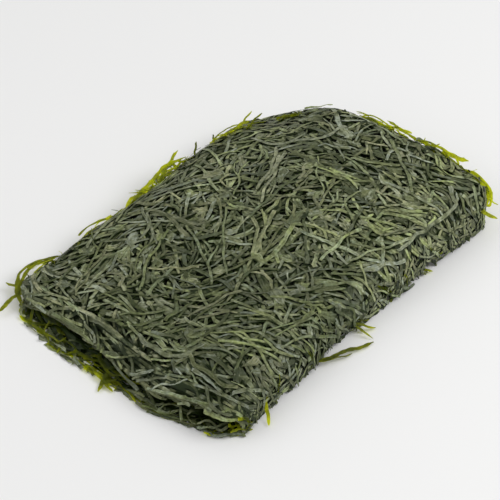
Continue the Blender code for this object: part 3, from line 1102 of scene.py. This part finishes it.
def add_free(batch, centre, widths, roll, tone, painted_shade):
    """Adds a strip along a free line; roll leans its face, in radians at each point."""
    run = np.gradient(centre, axis=0)
    run /= np.linalg.norm(run, axis=1, keepdims=True)
    level = np.cross((0.0, 0.0, 1.0), run)
    level /= np.maximum(np.linalg.norm(level, axis=1, keepdims=True), 1e-6)
    up = np.cross(run, level)
    lean = roll[:, None]
    side = level * np.cos(lean) + up * np.sin(lean)
    over = up * np.cos(lean) - level * np.sin(lean)
    along = np.concatenate([[0], np.cumsum(np.linalg.norm(np.diff(centre, axis=0), axis=1))])
    batch.add_strip(centre, side, over, widths, 0.00028, 0.25, tone, along, np.full(len(centre), painted_shade))


def add_loose(batch, start, heading, length, bend, fall, arch, width, roll, shade):
    """Adds a strip that stands free of the heap: it starts at a point with a heading and bends evenly in plan."""
    count = max(int(length / 0.0016), 5)
    t = np.linspace(0, 1, count + 1)
    turn = np.radians(heading + bend * t + 9 * np.sin(9 * t + heading) + 6 * np.sin(23 * t + bend))
    step = length / count
    x = start[0] + np.concatenate([[0], np.cumsum(np.cos(turn[:-1]) * step)])
    y = start[1] + np.concatenate([[0], np.cumsum(np.sin(turn[:-1]) * step)])
    z = start[2] - fall * smooth_step(t) + arch * np.sin(math.pi * t)
    wave = 1 + 0.18 * np.sin(17 * t + heading) + 0.14 * np.sin(41 * t + bend)
    other = 1 + 0.20 * np.sin(19 * t + bend) + 0.14 * np.sin(47 * t + heading)
    ends = np.clip(np.minimum(t / 0.06, (1 - t) / 0.12), 0.3, 1)
    widths = np.stack([wave * ends, other * ends], 1) * width
    roll = np.radians(roll * np.sin(2.4 * t + 0.4))
    add_free(batch, np.stack([x, y, z], 1), widths, roll, 0.31 + 0.37 * (heading % 7) / 7, shade)


def add_lace(thin, plain, surface, rng, start, end, reach, count):
    """Adds strips, thin and plain ones, that run beside the rim between two points, some across, and arch out past it."""
    start, end = np.array(start), np.array(end)
    span = np.linalg.norm(end - start)
    for _ in range(count):
        crossing = rng.random() < 0.22
        length = rng.uniform(0.005, 0.009) if crossing else rng.uniform(0.009, 0.026)
        steps = max(int(length / 0.0016), 4)
        s = np.linspace(-0.5, 0.5, steps)
        middle = rng.uniform(0.04, 0.96)
        out = reach * rng.uniform(0.15, 1.0)
        loose = rng.random() < 0.35
        shape = np.clip(1 - (2 * np.abs(s if not loose else np.minimum(s, 0.1))) ** 2.5, 0, 1)
        drift = rng.uniform(-0.12, 0.12) * length * 2 * s
        along = s * length
        if crossing:
            drift = (s + 0.3) * length
            along = s * length * rng.uniform(-0.8, 0.8)
            shape, out = np.ones(steps), 0.3 * out
        at = start + (end - start) * np.clip(middle + along / span, -0.1, 1.1)[:, None]
        skin, outward = surface.rim_at(at)
        rise = rng.normal(-0.0002, 0.0012) + rng.normal(0, 0.0006) * np.sin(7 * s + rng.uniform(0, 6))
        hang = rng.uniform(-0.2, 0.5)
        centre = skin + outward * (out * shape + drift - 0.0006)[:, None]
        centre[:, 2] += rise - hang * np.maximum(out * shape, 0)
        centre = np.concatenate([centre[:1], 0.25 * centre[:-2] + 0.5 * centre[1:-1] + 0.25 * centre[2:], centre[-1:]])
        usual = rng.uniform(0.0008, 0.0023) * (0.8 if crossing else 1.0)
        widths = usual * (1 + rng.normal(0, 0.16, (steps, 2)))
        widths[[0, -1]] *= 0.6
        roll = rng.normal(0, 0.45) + 0.3 * np.sin(5 * s + rng.uniform(0, 6))
        # the last value is a slight painted shade
        add_free(plain if rng.random() < 0.15 else thin, centre, widths, roll, rng.random(), rng.uniform(0, 0.12))


def add_tuft(batch, rng, point, heading, length, leaves):
    """Adds a fan of thin leaves that spread from a point."""
    for k in range(leaves):
        start = np.array(point) + rng.normal(0, 0.0018, 3) * (1.0, 1.0, 0.3)
        aim = heading + rng.uniform(-32, 32)
        reach = length * rng.uniform(0.55, 1.1)
        fall = start[2] - rng.uniform(0.0008, 0.0024)
        # the last value is the leaf's painted shade
        add_loose(batch, start, aim, reach, rng.normal(0, 22), fall, 0.0008, rng.uniform(0.0010, 0.0022), 20, rng.uniform(0.1, 0.6))


def core_mesh(surface):
    """The closed core under the strips."""
    inset = 0.0165
    first = surface.first_row + int(inset / ROW_STEP)
    last = surface.last_row - int(inset / ROW_STEP)
    columns = slice(surface.first_column, surface.last_column + 1)
    p = surface.points[first : last + 1, columns].copy()
    n = surface.normals[first : last + 1, columns]
    d = surface.depth[first : last + 1, columns]
    rows, cols = d.shape
    turn = smooth_step((np.arange(first, last + 1) - surface.fold_row) / ROWS_FOLD)[:, None]
    p -= n * (d + 0.0006)[..., None]
    narrow = 0.980 + (0.915 - 0.980) * turn
    middle = surface.shift[1]
    p[..., 1] = (p[..., 1] - middle) * narrow + middle
    index = np.arange(rows * cols).reshape(rows, cols)
    quads = [np.stack([index[:-1, :-1], index[1:, :-1], index[1:, 1:], index[:-1, 1:]], -1).reshape(-1, 4)]
    half = rows // 2
    for k in range(half - 1):
        other = rows - 1 - k
        quads.append([[index[k, 0], index[other, 0], index[other - 1, 0], index[k + 1, 0]]])
        quads.append([[index[k, -1], index[k + 1, -1], index[other - 1, -1], index[other, -1]]])
    for c in range(cols - 1):
        quads.append([[index[0, c], index[0, c + 1], index[-1, c + 1], index[-1, c]]])
    mesh = bpy.data.meshes.new("kelp_core")
    faces = np.concatenate([np.array(q) for q in quads]).tolist()
    mesh.from_pydata(p.reshape(-1, 3).tolist(), [], faces)
    mesh.update()
    mesh.shade_smooth()
    return mesh


# ---------------------------------------------------------------- materials


def new_group(name, inputs, outputs):
    """A shader node group with named sockets."""
    group = bpy.data.node_groups.new(name, "ShaderNodeTree")
    for kind, label, default in inputs:
        socket = group.interface.new_socket(label, in_out="INPUT", socket_type=kind)
        if default is not None:
            socket.default_value = default
    for kind, label in outputs:
        group.interface.new_socket(label, in_out="OUTPUT", socket_type=kind)
    source = group.nodes.new("NodeGroupInput")
    target = group.nodes.new("NodeGroupOutput")
    return group, source, target


def node(tree, kind, links=None, **settings):
    """A node with its settings, and its inputs set or linked."""
    made = tree.nodes.new(kind)
    for name, value in settings.items():
        setattr(made, name, value)
    for name, value in (links or {}).items():
        socket = made.inputs[name]
        if isinstance(value, bpy.types.NodeSocket):
            tree.links.new(value, socket)
        else:
            socket.default_value = value
    return made


def mix_colour(tree, share, a, b, blend="MIX"):
    made = node(tree, "ShaderNodeMix", data_type="RGBA", blend_type=blend)
    for index, value in ((0, share), (6, a), (7, b)):
        if isinstance(value, bpy.types.NodeSocket):
            tree.links.new(value, made.inputs[index])
        else:
            made.inputs[index].default_value = value
    return made.outputs[2]


def math_node(tree, operation, a, b=0.0, clamp=False):
    made = node(tree, "ShaderNodeMath", operation=operation, use_clamp=clamp)
    for index, value in ((0, a), (1, b)):
        if isinstance(value, bpy.types.NodeSocket):
            tree.links.new(value, made.inputs[index])
        else:
            made.inputs[index].default_value = value
    return made.outputs[0]


def spread(tree, value, low, high, to_low=0.0, to_high=1.0):
    made = node(
        tree,
        "ShaderNodeMapRange",
        {"Value": value, "From Min": low, "From Max": high, "To Min": to_low, "To Max": to_high},
        clamp=True,
    )
    return made.outputs["Result"]


def noise(tree, vector, scale, detail=3.0, rough=0.5):
    made = node(
        tree, "ShaderNodeTexNoise", {"Vector": vector, "Scale": scale, "Detail": detail, "Roughness": rough}
    )
    return made.outputs["Fac"]


def attribute(tree, name):
    return node(tree, "ShaderNodeAttribute", attribute_name=name).outputs["Fac"]


def rgba(colour):
    return (*colour, 1.0)


def kelp_tint_group():
    """Colour of dried kelp: a greyish film, slate or olive by patches, over green that shows where it is worn. Painted
    shade fades the film to the deep green, browner and more olive, where a strip lies deep, and a little toward each
    strip's edges; pale flecks are partly salt specks and partly painted glints, and pale lines along the edges are
    painted highlights.
    """
    group, source, target = new_group(
        "Kelp tint",
        (
            ("NodeSocketColor", "Bloom", None),
            ("NodeSocketColor", "Slate", None),
            ("NodeSocketColor", "Olive", None),
            ("NodeSocketColor", "Umber", None),
            ("NodeSocketColor", "Deep", None),
            ("NodeSocketColor", "Fleck_and_glint", None),
            ("NodeSocketFloat", "Tone", 0.5),
            ("NodeSocketFloat", "Edge", 0.0),
            ("NodeSocketFloat", "PaintedShade", 0.0),
            ("NodeSocketVector", "Place", None),
            ("NodeSocketVector", "Along", None),
        ),
        (("NodeSocketColor", "Colour"), ("NodeSocketFloat", "Film")),
    )
    g = source.outputs
    patch = noise(group, g["Place"], 46.0, 4.0, 0.62)
    second = noise(group, g["Place"], 90.0, 4.0, 0.62)
    blot = noise(group, g["Place"], 520.0, 3.0, 0.6)
    streak = noise(group, g["Along"], 1.0, 4.0, 0.62)
    apart = math_node(group, "MULTIPLY", math_node(group, "SUBTRACT", g["Tone"], 0.5), 0.34)
    slate = spread(group, math_node(group, "ADD", patch, apart), 0.42, 0.60)
    olive = spread(group, math_node(group, "SUBTRACT", second, apart), 0.50, 0.68)
    film_colour = mix_colour(group, slate, g["Bloom"], g["Slate"])
    film_colour = mix_colour(group, math_node(group, "MULTIPLY", olive, 0.7), film_colour, g["Olive"])
    brown = math_node(group, "FRACT", math_node(group, "MULTIPLY", g["Tone"], 13.1))
    brown = math_node(group, "ADD", math_node(group, "MULTIPLY", brown, 0.5), math_node(group, "MULTIPLY", blot, 0.5))
    brown = spread(group, brown, 0.46, 0.80)
    # painted shade: strips that lie deeper turn browner and more olive
    lower = spread(group, g["PaintedShade"], 0.03, 0.20)
    umber = math_node(group, "MAXIMUM", brown, math_node(group, "MULTIPLY", lower, 0.65))
    film_colour = mix_colour(group, umber, film_colour, g["Umber"])
    film_colour = mix_colour(group, math_node(group, "MULTIPLY", lower, 0.22), film_colour, g["Olive"])
    worn = math_node(group, "ADD", math_node(group, "MULTIPLY", streak, 0.55), math_node(group, "MULTIPLY", blot, 0.45))
    film = spread(group, worn, 0.37, 0.59, 0.18, 1.0)
    own = math_node(group, "FRACT", math_node(group, "MULTIPLY", g["Tone"], 37.7))
    film = math_node(group, "MULTIPLY", film, spread(group, own, 0.0, 1.0, 0.28, 1.16), True)
    # painted shade: the film fades a little toward each strip's edges
    film = math_node(group, "MULTIPLY", film, spread(group, g["Edge"], 0.6, 1.0, 1.0, 0.92))
    # painted shade: the film fades to the deep green where a strip lies deep
    film = math_node(group, "MULTIPLY", film, spread(group, g["PaintedShade"], 0.05, 0.42, 1.0, 0.0))
    broad = noise(group, g["Place"], 15.0, 2.0)
    middle = noise(group, g["Place"], 120.0, 2.0)
    shade = math_node(group, "ADD", math_node(group, "MULTIPLY", broad, 0.55), math_node(group, "MULTIPLY", middle, 0.45))
    film = math_node(group, "MULTIPLY", film, spread(group, shade, 0.40, 0.60, 0.52, 1.02))
    # pale flecks, partly salt specks and partly painted glints, and painted highlights in pale lines along the strips'
    # edges
    fleck_and_glint = spread(group, noise(group, g["Place"], 700.0, 2.0), 0.60, 0.72, 0.0, 0.65)
    painted_edge_highlight = math_node(group, "MULTIPLY", spread(group, g["Edge"], 0.55, 0.95), spread(group, streak, 0.52, 0.66))
    fleck_and_glint = math_node(group, "MAXIMUM", fleck_and_glint, math_node(group, "MULTIPLY", painted_edge_highlight, 0.55))
    fleck_and_glint = math_node(group, "MULTIPLY", fleck_and_glint, film)
    colour = mix_colour(group, film, g["Deep"], film_colour)
    colour = mix_colour(group, fleck_and_glint, colour, g["Fleck_and_glint"])
    group.links.new(colour, target.inputs["Colour"])
    group.links.new(film, target.inputs["Film"])
    return group


def kelp_grain_group():
    """Fine wrinkles along a strip, as a height, and uneven gloss."""
    group, source, target = new_group(
        "Kelp grain",
        (("NodeSocketVector", "Along", None), ("NodeSocketVector", "Place", None), ("NodeSocketFloat", "Gloss", 0.5)),
        (("NodeSocketFloat", "Height"), ("NodeSocketFloat", "Roughness")),
    )
    g = source.outputs
    wrinkle = noise(group, g["Along"], 2.2, 4.0, 0.6)
    pits = noise(group, g["Place"], 900.0, 3.0, 0.6)
    height = math_node(group, "ADD", math_node(group, "MULTIPLY", wrinkle, 0.7), math_node(group, "MULTIPLY", pits, 0.3))
    uneven = math_node(group, "MULTIPLY", math_node(group, "SUBTRACT", pits, 0.5), 0.5)
    rough = math_node(group, "ADD", g["Gloss"], uneven, True)
    group.links.new(height, target.inputs["Height"])
    group.links.new(rough, target.inputs["Roughness"])
    return group


def shared_group(name, make):
    return bpy.data.node_groups.get(name) or make()


def strip_coordinates(tree):
    """Coordinates that run along a strip and across it, shifted from strip to strip."""
    tone = attribute(tree, "tone")
    along = math_node(tree, "MULTIPLY", attribute(tree, "along"), 160.0)
    across = math_node(tree, "MULTIPLY", attribute(tree, "across"), 1.6)
    apart = math_node(tree, "MULTIPLY", tone, 97.0)
    return node(tree, "ShaderNodeCombineXYZ", {"X": along, "Y": across, "Z": apart}).outputs[0]


def kelp_material(name, colours, lit, through):
    """Dried kelp in six colours, among them the deep green of the painted shade and pale flecks that are partly painted
    glints; lit and through are the colour and the share of the light that passes.
    """
    material = bpy.data.materials.new(name)
    material.use_nodes = True
    tree = material.node_tree
    tree.nodes.clear()
    place = node(tree, "ShaderNodeTexCoord").outputs["Object"]
    along = strip_coordinates(tree)
    tint = node(tree, "ShaderNodeGroup", node_tree=shared_group("Kelp tint", kelp_tint_group))
    for label, colour in zip(("Bloom", "Slate", "Olive", "Umber", "Deep", "Fleck_and_glint"), colours):
        tint.inputs[label].default_value = rgba(colour)
    tree.links.new(attribute(tree, "tone"), tint.inputs["Tone"])
    # the painted shade, by how deep each point lies, goes to the tint
    tree.links.new(attribute(tree, "painted_shade"), tint.inputs["PaintedShade"])
    tree.links.new(math_node(tree, "ABSOLUTE", attribute(tree, "across")), tint.inputs["Edge"])
    grain = node(tree, "ShaderNodeGroup", node_tree=shared_group("Kelp grain", kelp_grain_group))
    grain.inputs["Gloss"].default_value = 0.46
    for group in (tint, grain):
        tree.links.new(place, group.inputs["Place"])
        tree.links.new(along, group.inputs["Along"])
    bump = node(tree, "ShaderNodeBump", {"Height": grain.outputs["Height"], "Strength": 0.4, "Distance": 0.0005})
    surface = node(tree, "ShaderNodeBsdfPrincipled")
    surface.inputs["Specular IOR Level"].default_value = 0.28
    surface.inputs["IOR"].default_value = 1.45
    tree.links.new(tint.outputs["Colour"], surface.inputs["Base Color"])
    tree.links.new(grain.outputs["Roughness"], surface.inputs["Roughness"])
    tree.links.new(bump.outputs["Normal"], surface.inputs["Normal"])
    back = node(tree, "ShaderNodeBsdfTranslucent", {"Color": rgba(lit)})
    thin = spread(tree, noise(tree, place, 240.0, 3.0), 0.35, 0.62, 0.72 * through, 1.06 * through)
    # less light passes where the painted shade is stronger
    thin = math_node(tree, "MULTIPLY", thin, spread(tree, attribute(tree, "painted_shade"), 0.0, 1.0, 1.0, 0.2))
    both = node(tree, "ShaderNodeMixShader", {"Fac": thin, 1: surface.outputs[0], 2: back.outputs[0]})
    out = node(tree, "ShaderNodeOutputMaterial")
    tree.links.new(both.outputs[0], out.inputs["Surface"])
    return material


def core_material(colours):
    """The matted inside, painted nearly black as the shade in the holes between strips."""
    material = bpy.data.materials.new("kelp_inside")
    material.use_nodes = True
    tree = material.node_tree
    surface = tree.nodes["Principled BSDF"]
    place = node(tree, "ShaderNodeTexCoord").outputs["Object"]
    mottle = spread(tree, noise(tree, place, 420.0, 4.0), 0.35, 0.7)
    dark = rgba([0.45 * c for c in colours.core])
    tree.links.new(mix_colour(tree, mottle, dark, rgba(colours.core)), surface.inputs["Base Color"])
    surface.inputs["Roughness"].default_value = 0.9
    surface.inputs["Specular IOR Level"].default_value = 0.2
    height = noise(tree, place, 600.0, 4.0)
    bump = node(tree, "ShaderNodeBump", {"Height": height, "Strength": 0.8, "Distance": 0.001})
    tree.links.new(bump.outputs["Normal"], surface.inputs["Normal"])
    return material


# ---------------------------------------------------------------- operators


def strand_material(context):
    """The strips of the heap."""
    c = context.scene.kelp_colours
    return kelp_material("dried_kelp_strips", (c.bloom, c.slate, c.olive, c.umber, c.deep, c.fleck_and_glint), c.lit, 0.18)


def rim_material(context):
    """The thin strips of the rim, which light passes through."""
    c = context.scene.kelp_colours
    return kelp_material("dried_kelp_rim", (c.rim, c.rim, c.rim_olive, c.rim, c.deep, c.fleck_and_glint), c.rim_lit, 0.90)


class KELP_OT_core(bpy.types.Operator):
    """Builds the dark core that the strips lie on"""

    bl_idname = "kelp.core"
    bl_label = "Kelp core"

    def execute(self, context):
        surface = MatSurface(context.scene.kelp_shape, context.scene.kelp_strands)
        mesh = core_mesh(surface)
        mesh.materials.append(core_material(context.scene.kelp_colours))
        core = bpy.data.objects.new("kelp_core", mesh)
        context.scene.collection.objects.link(core)
        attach(core, BODY)
        return {"FINISHED"}


class KELP_OT_strands(bpy.types.Operator):
    """Heaps the cut strips over the core, lowest places first, and joins them by the place they lie in"""

    bl_idname = "kelp.strands"
    bl_label = "Kelp strips"

    ZONES = ("strips_top_open", "strips_top_middle", "strips_top_fold", "strips_fold", "strips_under_a", "strips_under_b")
    RIM = "strips_rim"
    WEBS = "fused_pieces"

    def zone(self, surface, strand):
        row = float(np.mean(strand.i))
        if strand.rim:
            return self.RIM
        if row < surface.fold_row:
            share = (row - surface.first_row) / ROWS_TOP
            return self.ZONES[min(int(share * 3), 2)]
        if row < surface.under_row:
            return "strips_fold"
        share = (row - surface.under_row) / ROWS_UNDER
        return "strips_under_a" if share < 0.5 else "strips_under_b"

    def execute(self, context):
        settings = context.scene.kelp_strands
        surface = MatSurface(context.scene.kelp_shape, settings)
        bed = Bed(surface, settings, np.random.default_rng(settings.seed))
        self.lay_edge_band(bed, surface)
        bed.fill()
        self.lay_marks(bed)
        self.lay_fringes(bed, surface)
        batches = {name: Batch(name) for name in self.ZONES + (self.RIM, self.WEBS)}
        for strand in bed.strands:
            add_strand(batches[self.zone(surface, strand)], surface, strand, bed.height)
        for web in bed.webs:
            add_web(batches[self.WEBS], surface, web, bed.height)
        for lace in LACES:
            add_lace(batches[self.RIM], batches["strips_fold"], surface, bed.rng, *lace)
        for loose in LOOSE_STRANDS:
            add_loose(batches[self.RIM], *loose)
        for tuft in TUFTS:
            add_tuft(batches[self.RIM], bed.rng, *tuft)
        material = strand_material(context)
        thin = rim_material(context)
        for batch in batches.values():
            piece = batch.build(thin if batch.name == self.RIM else material)
            print(batch.name, batch.triangles())
            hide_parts(NODE)
        level = bed.height - np.kron(surface.depth, np.ones((FINE, FINE)))
        inner = level[FINE * 10 : -FINE * 10, FINE * 8 : -FINE * 8]
        print("webs", len(bed.webs), "strips", len(bed.strands), "over", np.round(np.percentile(inner, (5, 50, 95)) * 1000, 2))
        return {"FINISHED"}


    def lay_edge_band(self, bed, surface):
        """Strips along the lower layer's open edge, which shows under the upper layer."""
        rng = bed.rng
        for _ in range(230):
            i = surface.last_row + 0.5 - rng.uniform(0, 1) ** 1.5 * 8
            j = rng.uniform(surface.first_column, surface.last_column)
            heading = math.pi / 2 + rng.normal(0, 0.13)
            width = bed.settings.width * rng.uniform(0.7, 1.3)
            thin = 0.50 if j > surface.columns * 0.45 else 0.2
            bed.place_strip(i, j, heading, rng.uniform(0.012, 0.04), width, 0.003, most_lift=0.0, rim=rng.random() < thin)

    def lay_fringes(self, bed, surface):
        """Ragged ends along every edge."""
        s = surface
        rows = (s.first_row, s.fold_row + ROWS_FOLD // 2)

        def open_top(rng):
            return s.first_row + rng.uniform(0, 3), rng.uniform(s.first_column, s.last_column)

        def open_under(rng):
            return s.last_row - rng.uniform(0, 3), rng.uniform(s.first_column, s.last_column)

        def back(rng):
            return rng.uniform(*rows), s.last_column - rng.uniform(0, 3)

        def front(rng):
            return rng.uniform(*rows), s.first_column + rng.uniform(0, 3)

        def outward(rng):
            return rng.uniform(-1.1, 1.1)

        def sideways(rng):
            return math.pi / 2 + rng.normal(0, 0.45)

        def sharply(rng):
            return math.pi / 2 + rng.choice((-1, 1)) * rng.uniform(0.15, 0.8)

        bed.fringe(open_top, sharply, 26, 0.0030, 0.0008, 0.0)
        bed.fringe(open_under, outward, 70, 0.0042, 0.0003, 0.4)
        bed.fringe(back, sideways, 90, 0.0044, 0.0016, 0.75)
        bed.fringe(front, sideways, 60, 0.0030, 0.0006, 0.10)

    def lay_marks(self, bed):
        """The large fused pieces and the strips that lie over everything else."""
        for point, heading, length, width in PATCHES:
            bed.patch(point, math.radians(heading), length, width)
        for _ in range(bed.settings.over_all):
            bed.throw(bed.rng.uniform(0.0002, 0.0007), -0.001)
        for point, heading, length, width in TOP_STRIPS:
            bed.top_strip(point, math.radians(heading), length, width)


class KELP_OT_stage(bpy.types.Operator):
    """Makes the table, the lights and the camera"""

    bl_idname = "kelp.stage"
    bl_label = "Stage"

    def execute(self, context):
        scene = context.scene
        stage = scene.kelp_stage
        make_table(scene)
        make_light("key_light", (0.58, -1.00, 1.12), 1.0, stage.key, scene)
        make_light("fill_light", (-0.9, 0.9, 1.2), 1.1, stage.fill, scene)
        make_sky(scene, stage.sky)
        make_camera(scene, stage)
        scene.view_settings.view_transform = "Standard"
        return {"FINISHED"}


def make_table(scene):
    size = 6.0
    mesh = bpy.data.meshes.new("table")
    corners = [(-size, -size, 0), (size, -size, 0), (size, size, 0), (-size, size, 0)]
    mesh.from_pydata(corners, [], [(0, 1, 2, 3)])
    material = bpy.data.materials.new("pale_table")
    material.use_nodes = True
    surface = material.node_tree.nodes["Principled BSDF"]
    surface.inputs["Base Color"].default_value = rgba(scene.kelp_colours.table)
    surface.inputs["Roughness"].default_value = 0.8
    surface.inputs["Specular IOR Level"].default_value = 0.2
    mesh.materials.append(material)
    table = bpy.data.objects.new("table", mesh)
    scene.collection.objects.link(table)


def make_light(name, place, size, power, scene):
    data = bpy.data.lights.new(name, "AREA")
    data.shape = "DISK"
    data.size = size
    data.energy = power
    light = bpy.data.objects.new(name, data)
    light.location = place
    light.rotation_mode = "QUATERNION"
    light.rotation_quaternion = (-Vector(place)).to_track_quat("-Z", "Y")
    scene.collection.objects.link(light)


def make_sky(scene, strength):
    world = bpy.data.worlds.new("studio")
    world.use_nodes = True
    background = world.node_tree.nodes["Background"]
    background.inputs["Color"].default_value = (1.0, 1.0, 1.0, 1.0)
    background.inputs["Strength"].default_value = strength
    scene.world = world


def make_camera(scene, stage):
    data = bpy.data.cameras.new("camera")
    data.lens = stage.lens
    data.sensor_width = 36.0
    camera = bpy.data.objects.new("camera", data)
    a, e = stage.azimuth, stage.elevation
    back = Vector((math.sin(a) * math.cos(e), -math.cos(a) * math.cos(e), math.sin(e)))
    middle = (CAD_LOW + CAD_HIGH) / 2
    aim = Vector((middle.x + 0.0103, middle.y + 0.0089, CAD_LOW.z))
    camera.location = aim + back * stage.distance
    camera.rotation_mode = "QUATERNION"
    camera.rotation_quaternion = (-back).to_track_quat("-Z", "Y")
    data.clip_start, data.clip_end = 0.01, 50.0
    scene.collection.objects.link(camera)
    scene.camera = camera


class KELP_PT_panel(bpy.types.Panel):
    """Lists the steps that build the mat"""

    bl_idname = "KELP_PT_panel"
    bl_label = "Dried kelp mat"
    bl_space_type = "VIEW_3D"
    bl_region_type = "UI"
    bl_category = "Kelp"

    def draw(self, context):
        layout = self.layout
        for group in ("kelp_shape", "kelp_strands", "kelp_colours", "kelp_stage"):
            box = layout.box()
            settings = getattr(context.scene, group)
            for name in settings.__annotations__:
                box.prop(settings, name)
        for operator in OPERATORS:
            layout.operator(operator.bl_idname)


GROUPS = {
    "kelp_shape": KelpMatShape,
    "kelp_strands": KelpStrands,
    "kelp_colours": KelpColours,
    "kelp_stage": KelpStage,
}
OPERATORS = (KELP_OT_core, KELP_OT_strands, KELP_OT_stage)


def register():
    for name, group in GROUPS.items():
        bpy.utils.register_class(group)
        setattr(bpy.types.Scene, name, bpy.props.PointerProperty(type=group))
    for operator in OPERATORS:
        bpy.utils.register_class(operator)
    bpy.utils.register_class(KELP_PT_panel)


def unregister():
    bpy.utils.unregister_class(KELP_PT_panel)
    for operator in reversed(OPERATORS):
        bpy.utils.unregister_class(operator)
    for name, group in GROUPS.items():
        delattr(bpy.types.Scene, name)
        bpy.utils.unregister_class(group)


def main():
    register()
    bpy.ops.kelp.core()
    bpy.ops.kelp.strands()
    bpy.ops.kelp.stage()


if __name__ == "__main__":
    main()
